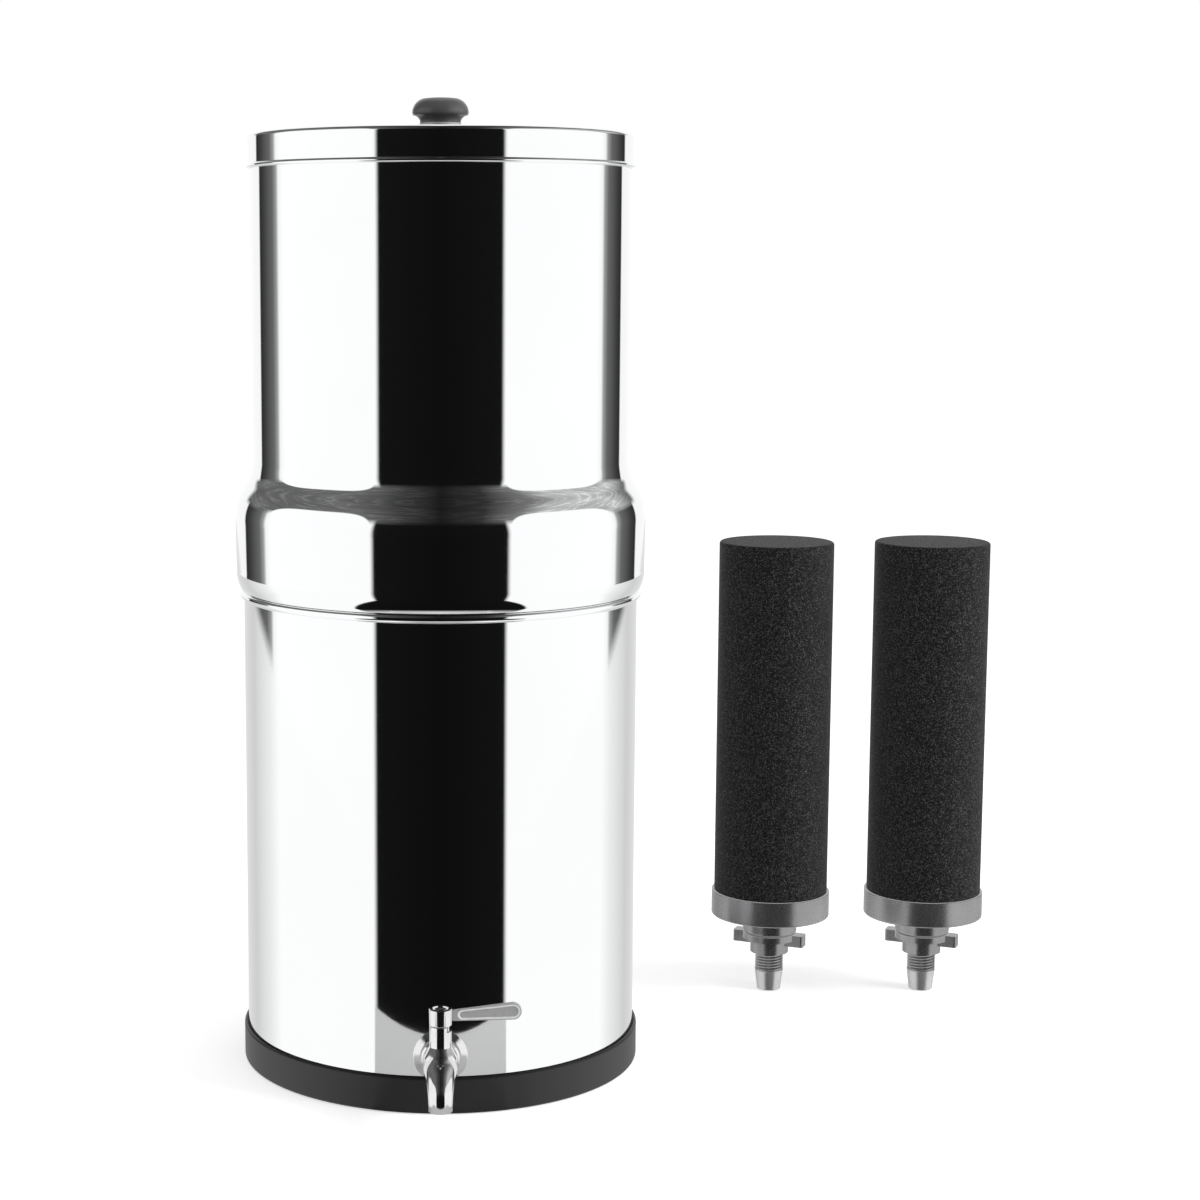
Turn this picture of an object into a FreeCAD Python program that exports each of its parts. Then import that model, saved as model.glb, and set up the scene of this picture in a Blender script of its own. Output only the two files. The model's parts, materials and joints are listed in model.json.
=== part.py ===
import FreeCAD, Part

import math
import os
import re

import Sketcher

# Gravity water filter with tap, in millimetres.
# Two stacked steel chambers under a lid: water poured into the upper one seeps through
# carbon elements into the lower one, and a quarter-turn tap at its foot lets it out.
# The origin is the middle of the base's underside, +Z is up and the tap points along -Y.

SIZES = (
    ("shell_wall", 0.8, "steel sheet of both chambers and the lid"),
    ("base_wall", 2.0, "rubber base, thickness of its wall"),
    ("base_height", 19.5, "rubber base, height of its wall"),
    ("base_floor", 2.5, "rubber base, thickness under the chamber"),
    ("base_edge", 1.4, "rubber base, rounding of its outer edges"),
    ("base_gap", 0.2, "rubber base, room round the chamber"),
    ("lower_radius", 108.0, "lower chamber, outside"),
    ("lower_height", 261.0, "lower chamber, underside to rim"),
    ("lower_corner", 6.0, "lower chamber, rounding at the bottom"),
    ("lower_bead", 2.3, "lower chamber, radius of the rolled rim"),
    ("pan_gap", 0.6, "room between the nested pan and the lower chamber"),
    ("pan_depth", 15.5, "how far the pan hangs below the rim"),
    ("pan_corner", 6.0, "pan, rounding at its floor"),
    ("fold_curve", 1.2, "rounding where the bulge folds in over the rim"),
    ("fold_turn", 60.0, "angle of that rounding, in degrees"),
    ("foot_reach", 2.6, "width of the flat fold that rests on the rim"),
    ("foot_curve", 20.0, "rounding of the bulge above the fold"),
    ("foot_height", 11.5, "height of that rounding above the rim"),
    ("foot_lean", 0.5, "how far that rounding ends inside the widest place"),
    ("bulge_step", 4.4, "bulge, its widest place beyond the lower chamber"),
    ("bulge_height", 38.5, "bulge, height of its widest place above the rim"),
    ("shoulder_height", 32.0, "height of the S from the bulge to the upper wall"),
    ("shoulder_step", 9.7, "width of that S"),
    ("shoulder_hollow", 24.0, "radius of the hollow half of the S"),
    ("head_room", 20.3, "room between the elements and the upper rim"),
    ("curl_width", 3.4, "upper chamber, width of the curled rim"),
    ("curl_height", 3.2, "upper chamber, height of the curled rim"),
    ("curl_round", 1.4, "upper chamber, rounding of the curled rim"),
    ("lid_gap", 0.7, "room between the lid's skirt and the upper chamber"),
    ("lid_corner", 2.4, "lid, rounding of its top edge"),
    ("lid_skirt", 18.2, "lid, top edge to the middle of the rolled edge"),
    ("lid_bead", 1.1, "lid, radius of the rolled edge"),
    ("lid_border", 10.2, "lid, width of the flat border round its raised middle"),
    ("lid_raise", 3.6, "lid, height of the raised middle"),
    ("lid_raise_slope", 10.0, "lid, width of the slope up to it"),
    ("knob_height", 13.4, "knob, foot to crown"),
    ("knob_radius", 15.2, "knob, outside at its widest"),
    ("knob_neck", 11.0, "knob, radius of its neck"),
    ("knob_neck_height", 0.9, "knob, foot to the hollow under its cap"),
    ("knob_hollow", 4.6, "knob, radius of the hollow under its cap"),
    ("knob_skirt_height", 4.05, "knob, foot to the lower edge of its cap"),
    ("knob_skirt_drop", 1.8, "knob, lower edge of its cap to its widest place"),
    ("knob_skirt_round", 2.7, "knob, rounding of that edge"),
    ("knob_crown", 8.0, "knob, radius of its rounded shoulder"),
    ("knob_flat", 9.5, "knob, radius of its flat crown"),
    ("knob_lip", 0.5, "knob, how far its lower edge is inside its widest place"),
    ("crown_rise", 0.65, "knob, rise of its flat crown to the middle"),
    ("disc_radius", 11.2, "steel disc under the knob, outside"),
    ("disc_height", 1.2, "steel disc under the knob, thickness"),
    ("knob_screw_radius", 2.0, "knob screw, shank"),
    ("knob_screw_length", 12.0, "knob screw, shank under its head"),
    ("knob_head_radius", 4.5, "knob screw, head"),
    ("knob_head_height", 2.6, "knob screw, height of its head"),
    ("knob_head_round", 1.0, "knob screw, rounding of its head"),
    ("knob_washer_radius", 8.5, "knob washer, outside"),
    ("knob_washer_height", 1.2, "knob washer, thickness"),
    ("screw_gap", 0.15, "room round a screw's shank"),
    ("drill_spare", 1.0, "how much deeper than its screw a tapped hole is"),
    ("shank_radius", 8.0, "tap shank, over its thread"),
    ("shank_gap", 0.3, "room round the shank in washers, flange and wall"),
    ("shank_inside", 15.0, "tap shank, how far it reaches in behind the wall"),
    ("shank_bevel", 1.0, "tap shank, bevel at its end"),
    ("washer_radius", 12.2, "tap washers, outside"),
    ("washer_base_gap", 0.3, "room between the outer tap washer and the base's top edge"),
    ("flange_base_gap", 0.2, "room between the tap flange and the base's outside"),
    ("washer_gap", 0.1, "room between a tap washer and the curved wall"),
    ("inner_washer_height", 3.0, "inner tap washer, thickness on the axis"),
    ("flange_radius", 14.25, "tap flange, outside"),
    ("flange_height", 2.6, "tap flange, thickness at its middle"),
    ("flange_edge", 0.8, "tap flange, thickness at its edge"),
    ("flange_cone_radius", 10.4, "tap flange, radius where its cone ends"),
    ("lock_nut_radius", 12.5, "lock nut, over its corners"),
    ("lock_nut_height", 5.0, "lock nut, thickness"),
    ("thread_gap", 0.1, "room between a nut and its thread"),
    ("collar_radius", 10.0, "tap body, collar that presses on the flange"),
    ("collar_height", 2.2, "tap body, height of that collar"),
    ("collar_slope", 1.6, "tap body, slope from the collar to the body"),
    ("collar_curve", 3.2, "tap body, hollow rounding of that slope"),
    ("body_radius", 8.9, "tap body, outside"),
    ("barrel_reach", 22.0, "tap barrel, its axis ahead of the wall"),
    ("barrel_radius", 5.7, "tap barrel, outside"),
    ("barrel_height", 22.7, "tap barrel, top above the tap axis"),
    ("bend_reach", 25.0, "spout, start of its bend ahead of the wall"),
    ("bend_radius", 17.0, "spout, radius of its bend"),
    ("spout_radius", 6.2, "spout, outside at its mouth"),
    ("spout_drop", 1.0, "spout, straight length under its bend"),
    ("outlet_radius", 4.6, "spout, bore at its mouth"),
    ("outlet_depth", 6.0, "spout, depth of that bore"),
    ("passage_radius", 3.9, "spout, passage round its bend"),
    ("chamber_radius", 6.5, "tap body, bore that holds the valve"),
    ("ball_radius", 6.0, "valve ball"),
    ("ball_bore", 3.6, "valve ball, radius of its bore"),
    ("ball_gap", 0.06, "room between the ball and its seats"),
    ("seat_gap", 0.1, "room round and behind the seats"),
    ("seat_reach", 6.4, "valve seat, its back from the ball's middle"),
    ("seat_face", 3.4, "valve seat, its front from the ball's middle"),
    ("seat_bore", 3.9, "valve seat, radius of its bore"),
    ("retainer_height", 5.0, "seat retainer, length"),
    ("stem_radius", 3.0, "valve stem, outside"),
    ("stem_gap", 0.06, "room round the valve stem"),
    ("tang_width", 2.0, "valve stem, thickness of its tang"),
    ("tang_height", 1.6, "valve stem, depth of its tang in the ball"),
    ("tang_gap", 0.1, "room beside the tang"),
    ("stem_square", 3.8, "valve stem, side of its square top"),
    ("square_height", 5.0, "valve stem, height of its square top"),
    ("square_gap", 0.1, "room round the square top"),
    ("stem_lift", 0.2, "room between the ball and the round part of the stem"),
    ("seal_width", 1.3, "stem seal, thickness of its ring"),
    ("seal_depth", 2.2, "stem seal, depth of its seat in the barrel"),
    ("hub_gap", 0.2, "room between the lever hub and the barrel"),
    ("hub_height", 8.7, "lever hub, height"),
    ("hub_radius", 5.75, "lever hub, outside at its foot"),
    ("hub_top_radius", 6.0, "lever hub, outside at its top"),
    ("hub_edge", 0.5, "lever hub, bevel of its top edge"),
    ("hub_recess_radius", 4.1, "lever hub, recess for its screw"),
    ("hub_recess_depth", 1.9, "lever hub, depth of that recess"),
    ("lever_length", 41.5, "lever, hub axis to its tip"),
    ("lever_thick", 3.0, "lever, thickness"),
    ("lever_sink", 0.6, "lever, how far its paddle starts inside the hub"),
    ("lever_foot", 2.2, "lever, its lower edge above the hub's foot"),
    ("lever_root", 4.7, "lever, height beside the hub"),
    ("lever_rise", 0.8, "lever, rise of its lower edge to the tip"),
    ("lever_tip", 4.35, "lever, radius of its tip"),
    ("lever_rim", 1.3, "lever, width of the rim round its pad"),
    ("pad_start", 10.4, "lever, start of its sunk pad from the hub axis"),
    ("pad_depth", 0.5, "lever, depth of its sunk pad"),
    ("stop_depth", 2.8, "barrel, depth of the notch that stops the lever"),
    ("stop_inner", 4.4, "barrel, inner radius of that notch"),
    ("stop_start", -55.0, "barrel, where that notch starts, in degrees from +X"),
    ("stop_angle", 120.0, "barrel, angle of that notch"),
    ("lug_angle", 28.0, "lever hub, angle of its stop lug"),
    ("lug_slack", 1.0, "lever hub, angle left between lug and notch"),
    ("lug_gap", 0.3, "room round the stop lug"),
    ("lug_inset", 0.2, "stop lug, how far it is inside the hub's outside"),
    ("lug_sink", 0.5, "stop lug, how far it reaches up into the hub"),
    ("lever_screw_radius", 1.4, "lever screw, shank"),
    ("lever_screw_length", 5.5, "lever screw, shank under its head"),
    ("lever_head_radius", 3.3, "lever screw, head"),
    ("lever_head_height", 1.5, "lever screw, height of its head"),
    ("lever_head_bevel", 0.4, "lever screw, bevel of its head"),
    ("lever_slot", 1.0, "lever screw, width of its slot"),
    ("lever_slot_depth", 0.6, "lever screw, depth of its slot"),
    ("hole_circle", 54.0, "upper chamber floor, radius of the ring of holes"),
    ("stem_hole_gap", 0.4, "room round an element stem in its hole"),
    ("carbon_radius", 34.0, "carbon block, outside"),
    ("carbon_height", 213.0, "carbon block, height above its cap"),
    ("carbon_bore", 9.0, "carbon block, radius of its hollow core"),
    ("carbon_roof", 18.0, "carbon block, solid top over its core"),
    ("carbon_edge", 1.5, "carbon block, bevel of its top edge"),
    ("cap_radius", 35.5, "element cap, outside"),
    ("cap_height", 15.3, "element cap, height of its wall"),
    ("cap_floor", 4.5, "element cap, thickness of its floor"),
    ("cap_gap", 0.1, "room between the carbon block and its cap"),
    ("cap_edge", 1.0, "element cap, rounding of its lower edge"),
    ("neck_radius", 16.25, "element cap, radius of its neck"),
    ("neck_height", 10.4, "element cap, height of its neck"),
    ("neck_slot_width", 5.0, "element cap, width of a slot in its neck"),
    ("neck_slot_height", 2.0, "element cap, height of that slot"),
    ("neck_slot_depth", 0.9, "element cap, depth of that slot"),
    ("neck_slot_place", 4.5, "element cap, middle of that slot under the cap"),
    ("element_washer_height", 1.2, "element washer, thickness"),
    ("element_washer_radius", 15.4, "element washer, outside"),
    ("pipe_radius", 8.5, "element stem, over its thread"),
    ("pipe_bore", 3.5, "element stem, radius of its bore"),
    ("pipe_socket", 7.0, "element stem, depth of its top in the neck"),
    ("pipe_thread", 11.3, "element stem, thread seen under the nut"),
    ("spigot_height", 12.1, "element stem, height of its plain spigot"),
    ("spigot_radius", 7.0, "element stem, radius at its end"),
    ("spigot_edge", 0.6, "element stem, bevel at its end"),
    ("wing_ring_radius", 16.0, "wing nut, radius of its flange"),
    ("wing_ring_height", 3.7, "wing nut, thickness of its flange"),
    ("wing_hub_radius", 11.5, "wing nut, radius of its hub"),
    ("wing_hub_height", 8.3, "wing nut, height of its hub"),
    ("wing_reach", 21.8, "wing nut, tip of a wing from its axis"),
    ("wing_sink", 2.0, "wing nut, how far a wing starts inside its hub"),
    ("wing_width", 8.6, "wing nut, width of a wing"),
    ("wing_drop", 7.0, "wing nut, height of a wing"),
    ("wing_round", 1.2, "wing nut, rounding of a wing's corners"),
    ("wing_turn", -24.0, "wing nut, where its wings point, in degrees from +X"),
    ("plug_radius", 13.0, "blanking plug, head"),
    ("plug_height", 4.5, "blanking plug, height of its head"),
    ("plug_edge", 1.0, "blanking plug, rounding of its head"),
    ("plug_length", 16.0, "blanking plug, shank under the washer"),
    ("plug_nut_height", 6.0, "blanking plug nut, thickness"),
    ("plug_nut_radius", 13.5, "blanking plug nut, over its corners"),
    ("pair_near", 201.0, "nearer loose element, its axis from the vessel's"),
    ("pair_far", 294.0, "farther loose element, its axis from the vessel's"),
    ("pair_back", 115.0, "loose elements, their axes behind the vessel's"),
)

# Places and sizes worked out from the ones above.
DERIVED = {
    "base_inside": "lower_radius + base_gap",
    "base_radius": "base_inside + base_wall",
    "rim_level": "base_floor + lower_height",
    "lower_inside": "lower_radius - shell_wall",
    "pan_radius": "lower_inside - pan_gap",
    "pan_inside": "pan_radius - shell_wall",
    "floor_level": "rim_level - pan_depth + shell_wall",
    "bulge_radius": "lower_radius + bulge_step",
    "foot_radius": "bulge_radius - foot_lean",
    "upper_radius": "bulge_radius - shoulder_step",
    "upper_inside": "upper_radius - shell_wall",
    "upper_height": "floor_level + cap_top + carbon_height + head_room - rim_level",
    "shoulder_sum": "(shoulder_step ^ 2 + shoulder_height ^ 2) / (2 * shoulder_step)",
    "shoulder_round": "shoulder_sum - shoulder_hollow",
    "shoulder_share": "shoulder_round / shoulder_sum",
    "shoulder_top": "bulge_height + shoulder_height",
    "turn_radius": "bulge_radius - shoulder_step * shoulder_share",
    "turn_level": "bulge_height + shoulder_height * shoulder_share",
    "turn_lean_x": "shell_wall * (shoulder_sum - shoulder_step) / shoulder_sum",
    "turn_lean_z": "shell_wall * shoulder_height / shoulder_sum",
    "lid_level": "rim_level + upper_height",
    "lid_inside": "upper_radius + lid_gap",
    "lid_radius": "lid_inside + shell_wall",
    "lid_slope_foot": "lid_radius - lid_border",
    "lid_slope_top": "lid_slope_foot - lid_raise_slope",
    "knob_level": "lid_level + shell_wall + lid_raise + disc_height",
    "crown_sweep": "(knob_flat ^ 2 + crown_rise ^ 2) / (2 * crown_rise)",
    "tap_height": "base_height + washer_base_gap + washer_radius",
    "flange_back": "base_radius + flange_base_gap",
    "flange_front": "flange_back + flange_height",
    "nut_front": "lower_inside - inner_washer_height",
    "shank_end": "lower_inside - shank_inside",
    "shank_hole": "shank_radius + shank_gap",
    "barrel_place": "lower_radius + barrel_reach",
    "bend_place": "lower_radius + bend_reach",
    "stem_hole": "stem_radius + stem_gap",
    "seal_radius": "stem_hole + seal_width",
    "ball_hold": "ball_radius + ball_gap",
    "hub_level": "tap_height + barrel_height + hub_gap",
    "pipe_hole": "pipe_radius + stem_hole_gap",
    "pipe_socket_radius": "pipe_radius + cap_gap",
    "neck_foot": "element_washer_height",
    "cap_foot": "neck_foot + neck_height",
    "carbon_foot": "cap_foot + cap_floor",
    "cap_top": "cap_foot + cap_height",
    "wing_nut_height": "wing_ring_height + wing_hub_height",
    "element_drop": "wing_nut_height + pipe_thread + spigot_height",
}

doc = FreeCAD.newDocument("gravity_water_filter")
sheet = doc.addObject("Spreadsheet::Sheet", "Sizes")
for row, (alias, number, words) in enumerate(SIZES, 1):
    sheet.set("A%d" % row, words)
    sheet.set("B%d" % row, str(number))
    sheet.setAlias("B%d" % row, alias)
doc.recompute()

ALIASES = {alias for alias, number, words in SIZES}
UP = FreeCAD.Vector(0, 0, 1)
OUTWARD = FreeCAD.Rotation(FreeCAD.Vector(1, 0, 0), 90)
UPRIGHT = FreeCAD.Rotation()
nodes = []

# Added to the length of a cutting form, so that it runs past what it cuts.
PAST = " + 1"
# Radius over half chord of an arc that is just short of a half circle.
NEARLY_HALF = 1.05
# The spout is a loft of this many steps, and narrows by a share to this power.
SPOUT_STEPS = 4
SPOUT_TAPER = 1.3


def full(text):
    """An expression of the sheet's cells, with every derived name written out."""
    def one(match):
        word = match.group()
        if word in DERIVED:
            return "(" + full(DERIVED[word]) + ")"
        return "Sizes." + word if word in ALIASES else word
    return re.sub(r"[a-z_]{3,}", one, str(text))


def value(text):
    """The number that an expression gives now."""
    return float(sheet.evalExpression(full(text)))


def place(item, base, rotation=UPRIGHT):
    """Sets an object's Placement: turned once, its base tied to the sheet."""
    item.Placement = FreeCAD.Placement(FreeCAD.Vector(*[value(b) for b in base]), rotation)
    for axis, text in zip("xyz", base):
        item.setExpression("Placement.Base." + axis, full(text))


def keep(item, label):
    """Marks an object as a sub-part that gets a file of its own."""
    item.Label = label
    nodes.append(item)
    return item


def new_body(name, base=(0, 0, 0), rotation=UPRIGHT):
    body = doc.addObject("PartDesign::Body", name)
    place(body, base, rotation)
    return body


def new_sketch(body, role, offset=(0, 0, 0), turn=None):
    """A sketch on one of the body's origin planes, moved off it and turned as asked."""
    sketch = body.newObject("Sketcher::SketchObject", body.Name + "_sketch")
    plane = [item for item in body.Origin.OriginFeatures if item.Role == role][0]
    sketch.AttachmentSupport = (plane, "")
    sketch.MapMode = "FlatFace"
    rotation = FreeCAD.Rotation(FreeCAD.Vector(*turn[0]), value(turn[1])) if turn else UPRIGHT
    vector = FreeCAD.Vector(*[value(part) for part in offset])
    sketch.AttachmentOffset = FreeCAD.Placement(vector, rotation)
    for axis, text in zip("xyz", offset):
        if text != 0:
            sketch.setExpression("AttachmentOffset.Base." + axis, full(text))
    if turn:
        sketch.setExpression("AttachmentOffset.Rotation.Angle", full(turn[1]))
    return sketch


def tie(sketch, constraint, text):
    """Adds one constraint and binds it to an expression."""
    index = sketch.addConstraint(constraint)
    if text != 0:
        sketch.setExpression("Constraints[%d]" % index, full(text))


def draw_outline(sketch, points):
    """A closed outline. Each point is (x, y), or (x, y, radius, side) where the edge that
    arrives at it is an arc; side 1 bows to the left of the way along it, -1 to the right."""
    spots = [FreeCAD.Vector(value(point[0]), value(point[1]), 0) for point in points]
    ends = []
    for index, point in enumerate(points):
        start, end = spots[index - 1], spots[index]
        if len(point) == 2:
            ends.append((sketch.addGeometry(Part.LineSegment(start, end), False), 1, 2))
            continue
        radius, side = value(point[2]), point[3]
        chord = end - start
        left = FreeCAD.Vector(-chord.y, chord.x, 0).normalize()
        inset = math.sqrt(max(radius ** 2 - (chord.Length / 2) ** 2, 0))
        centre = (start + end) * 0.5 - left * (side * inset)
        angles = [math.atan2(spot.y - centre.y, spot.x - centre.x) for spot in (start, end)]
        if side > 0:
            angles.reverse()
        arc = Part.ArcOfCircle(Part.Circle(centre, UP, radius), angles[0], angles[1])
        edge = sketch.addGeometry(arc, False)
        ends.append((edge, 2, 1) if side > 0 else (edge, 1, 2))
    for index, point in enumerate(points):
        edge, first, last = ends[index]
        following, onward, unused = ends[(index + 1) % len(points)]
        sketch.addConstraint(Sketcher.Constraint("Coincident", edge, last, following, onward))
        spot = spots[index]
        tie(sketch, Sketcher.Constraint("DistanceX", -1, 1, edge, last, spot.x), point[0])
        tie(sketch, Sketcher.Constraint("DistanceY", -1, 1, edge, last, spot.y), point[1])
        if len(point) == 4:
            tie(sketch, Sketcher.Constraint("Radius", edge, value(point[2])), point[2])


def draw_circle(sketch, x, y, radius):
    centre = FreeCAD.Vector(value(x), value(y), 0)
    edge = sketch.addGeometry(Part.Circle(centre, UP, value(radius)), False)
    tie(sketch, Sketcher.Constraint("DistanceX", -1, 1, edge, 3, centre.x), x)
    tie(sketch, Sketcher.Constraint("DistanceY", -1, 1, edge, 3, centre.y), y)
    tie(sketch, Sketcher.Constraint("Radius", edge, value(radius)), radius)


def draw_axis(sketch, first, last):
    """A construction line to turn an outline about, from one point to another."""
    ends = [FreeCAD.Vector(value(spot[0]), value(spot[1]), 0) for spot in (first, last)]
    line = sketch.addGeometry(Part.LineSegment(ends[0], ends[1]), True)
    for number, spot, end in ((1, first, ends[0]), (2, last, ends[1])):
        tie(sketch, Sketcher.Constraint("DistanceX", -1, 1, line, number, end.x), spot[0])
        tie(sketch, Sketcher.Constraint("DistanceY", -1, 1, line, number, end.y), spot[1])


def feature(body, kind, profile, **settings):
    """Adds a feature to a body and checks that it adds or takes material as it should."""
    doc.recompute()
    before = body.Shape.Volume if body.Shape.Solids else 0
    item = body.newObject("PartDesign::" + kind, body.Name + "_" + kind.lower())
    if profile is not None:
        item.Profile = profile
    for name, setting in settings.items():
        if isinstance(setting, str) and name in ("Length", "Angle", "Radius"):
            setattr(item, name, value(setting))
            item.setExpression(name, full(setting))
        else:
            setattr(item, name, setting)
    body.Tip = item
    doc.recompute()
    change = body.Shape.Volume - before
    wrong = change >= 0 if kind in ("Pocket", "Groove") else change <= 0
    if wrong and kind != "PolarPattern":
        raise RuntimeError("%s on %s changed the volume by %g" % (kind, body.Name, change))
    return item


def turned_copies(body, original, count):
    """Repeats a feature round the body's own Z axis."""
    axis = [item for item in body.Origin.OriginFeatures if item.Role == "Z_Axis"][0]
    feature(body, "PolarPattern", None, Originals=[original], Axis=(axis, [""]), Angle=360.0,
            Occurrences=count)


def turned(name, points, base=(0, 0, 0), rotation=UPRIGHT):
    """A body turned about its own Z axis from a half outline of (radius, height) points."""
    body = new_body(name, base, rotation)
    sketch = new_sketch(body, "XZ_Plane")
    draw_outline(sketch, points)
    feature(body, "Revolution", sketch, ReferenceAxis=(sketch, ["V_Axis"]), Angle=360.0)
    return body


def ring(name, inner, outer, low, high, base=(0, 0, 0), rotation=UPRIGHT):
    """A plain flat ring."""
    points = ((inner, low), (outer, low), (outer, high), (inner, high))
    return turned(name, points, base, rotation)


def primitive(kind, name, base=(0, 0, 0), rotation=UPRIGHT, **sizes):
    """A Part primitive with its sizes tied to the sheet."""
    item = doc.addObject("Part::" + kind, name)
    for key, text in sizes.items():
        setattr(item, key, value(text))
        item.setExpression(key, full(text))
    place(item, base, rotation)
    return item


def boolean(kind, name, first, second):
    item = doc.addObject("Part::" + kind, name)
    item.Base = first
    item.Tool = second
    return item


def group(name, members):
    """Loose pieces of one kind in one node."""
    item = doc.addObject("Part::Compound", name)
    item.Links = members
    return keep(item, name)


def make_base():
    """A shallow rubber tray round the foot of the lower chamber."""
    points = (
        (0, 0),
        ("base_radius - base_edge", 0),
        ("base_radius", "base_edge", "base_edge", -1),
        ("base_radius", "base_height - base_edge"),
        ("base_radius - base_edge", "base_height", "base_edge", -1),
        ("base_inside", "base_height"),
        ("base_inside", "base_floor"),
        (0, "base_floor"),
    )
    keep(turned("base_ring", points), "base_ring")


def make_lower_chamber():
    """A drawn pot with a rolled rim and a hole for the tap."""
    inner_corner = "lower_corner - shell_wall"
    points = (
        (0, 0),
        ("lower_radius - lower_corner", 0),
        ("lower_radius", "lower_corner", "lower_corner", -1),
        ("lower_radius", "lower_height - 2 * lower_bead"),
        ("lower_radius + lower_bead", "lower_height - lower_bead", "lower_bead", -1),
        ("lower_radius", "lower_height", "lower_bead", -1),
        ("lower_inside", "lower_height"),
        ("lower_inside", "lower_corner"),
        ("lower_radius - lower_corner", "shell_wall", inner_corner, 1),
        (0, "shell_wall"),
    )
    body = turned("lower_chamber", points, (0, 0, "base_floor"))
    hole = new_sketch(body, "XZ_Plane")
    draw_circle(hole, 0, "tap_height - base_floor", "shank_hole")
    feature(body, "Pocket", hole, Length="lower_radius" + PAST, Reversed=True)
    keep(body, "lower_chamber")


def make_upper_chamber():
    """A drawn pot whose waisted foot rests on the lower rim, with its floor let into it."""
    fold = "pan_radius + foot_reach"
    fold_side = fold + " + fold_curve * cos(fold_turn * 1 deg)"
    fold_top = "fold_curve * sin(fold_turn * 1 deg)"
    points = (
        (0, "-pan_depth"),
        ("pan_radius - pan_corner", "-pan_depth"),
        ("pan_radius", "pan_corner - pan_depth", "pan_corner", -1),
        ("pan_radius", 0),
        (fold, 0),
        (fold_side, fold_top, "fold_curve", -1),
        ("foot_radius", "foot_height", "foot_curve", -1),
        ("bulge_radius", "bulge_height"),
        ("turn_radius", "turn_level", "shoulder_round", -1),
        ("upper_radius", "shoulder_top", "shoulder_hollow", 1),
        ("upper_radius", "upper_height - curl_round"),
        ("upper_radius - curl_round", "upper_height", "curl_round", -1),
        ("upper_radius - curl_width + curl_round", "upper_height"),
        ("upper_radius - curl_width", "upper_height - curl_round", "curl_round", -1),
        ("upper_radius - curl_width", "upper_height - curl_height"),
        ("upper_inside", "upper_height - curl_height"),
        ("upper_inside", "shoulder_top"),
        ("turn_radius - turn_lean_x", "turn_level - turn_lean_z", "shoulder_hollow + shell_wall", -1),
        ("bulge_radius - shell_wall", "bulge_height", "shoulder_round - shell_wall", 1),
        ("foot_radius - shell_wall", "foot_height"),
        (fold_side, "shell_wall + " + fold_top, "foot_curve - shell_wall", 1),
        (fold, "shell_wall"),
        ("pan_inside", "shell_wall"),
        ("pan_inside", "pan_corner - pan_depth"),
        ("pan_radius - pan_corner", "shell_wall - pan_depth", "pan_corner - shell_wall", 1),
        (0, "shell_wall - pan_depth"),
    )
    body = turned("upper_chamber", points, (0, 0, "rim_level"))
    hole = new_sketch(body, "XY_Plane", (0, 0, "-pan_depth"))
    draw_circle(hole, "hole_circle", 0, "pipe_hole")
    pocket = feature(body, "Pocket", hole, Length="shell_wall" + PAST, Reversed=True)
    turned_copies(body, pocket, 4)
    keep(body, "upper_chamber")


def make_lid():
    """A shallow cap with a rolled lower edge and a raised middle."""
    top = "shell_wall"
    skirt = "shell_wall - lid_corner"
    hole = "knob_screw_radius + screw_gap"
    points = (
        (hole, "lid_raise"),
        ("lid_slope_top", "lid_raise"),
        ("lid_slope_foot", 0),
        ("lid_radius - lid_corner", 0),
        ("lid_inside", skirt, "lid_corner - shell_wall", 1),
        ("lid_inside", "shell_wall - lid_skirt - lid_bead"),
        ("lid_radius", "shell_wall - lid_skirt - lid_bead"),
        ("lid_radius + lid_bead", "shell_wall - lid_skirt", "lid_bead", -1),
        ("lid_radius", "shell_wall - lid_skirt + lid_bead", "lid_bead", -1),
        ("lid_radius", skirt),
        ("lid_radius - lid_corner", top, "lid_corner", -1),
        ("lid_slope_foot", top),
        ("lid_slope_top", "shell_wall + lid_raise"),
        (hole, "shell_wall + lid_raise"),
    )
    keep(turned("lid", points, (0, 0, "lid_level")), "lid")


def make_knob():
    """A mushroom knob on a steel disc, held by a screw and washer from inside the lid."""
    widest = "knob_skirt_height + knob_skirt_drop"
    bore = "knob_screw_radius + screw_gap"
    depth = "knob_screw_length + drill_spare - knob_washer_height - shell_wall - disc_height"
    points = (
        (bore, 0),
        ("knob_neck", 0),
        ("knob_neck", "knob_neck_height"),
        ("knob_radius - knob_lip", "knob_skirt_height", "knob_hollow", 1),
        ("knob_radius", widest, "knob_skirt_round", -1),
        ("knob_flat", "knob_height - crown_rise", "knob_crown", -1),
        (0, "knob_height", "crown_sweep", -1),
        (0, depth),
        (bore, depth),
    )
    keep(turned("knob", points, (0, 0, "knob_level")), "knob")
    disc = ring("knob_disc", bore, "disc_radius", "-disc_height", 0, (0, 0, "knob_level"))
    keep(disc, "knob_disc")
    under = "lid_level + lid_raise"
    washer = ring("knob_washer", bore, "knob_washer_radius", "-knob_washer_height", 0,
                  (0, 0, under))
    keep(washer, "knob_washer")
    head = "-knob_washer_height - knob_head_height"
    screw = (
        (0, head),
        ("knob_head_radius - knob_head_round", head),
        ("knob_head_radius", head + " + knob_head_round", "knob_head_round", -1),
        ("knob_head_radius", "-knob_washer_height"),
        ("knob_screw_radius", "-knob_washer_height"),
        ("knob_screw_radius", "knob_screw_length - knob_washer_height"),
        (0, "knob_screw_length - knob_washer_height"),
    )
    keep(turned("knob_screw", screw, (0, 0, under)), "knob_screw")


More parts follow.
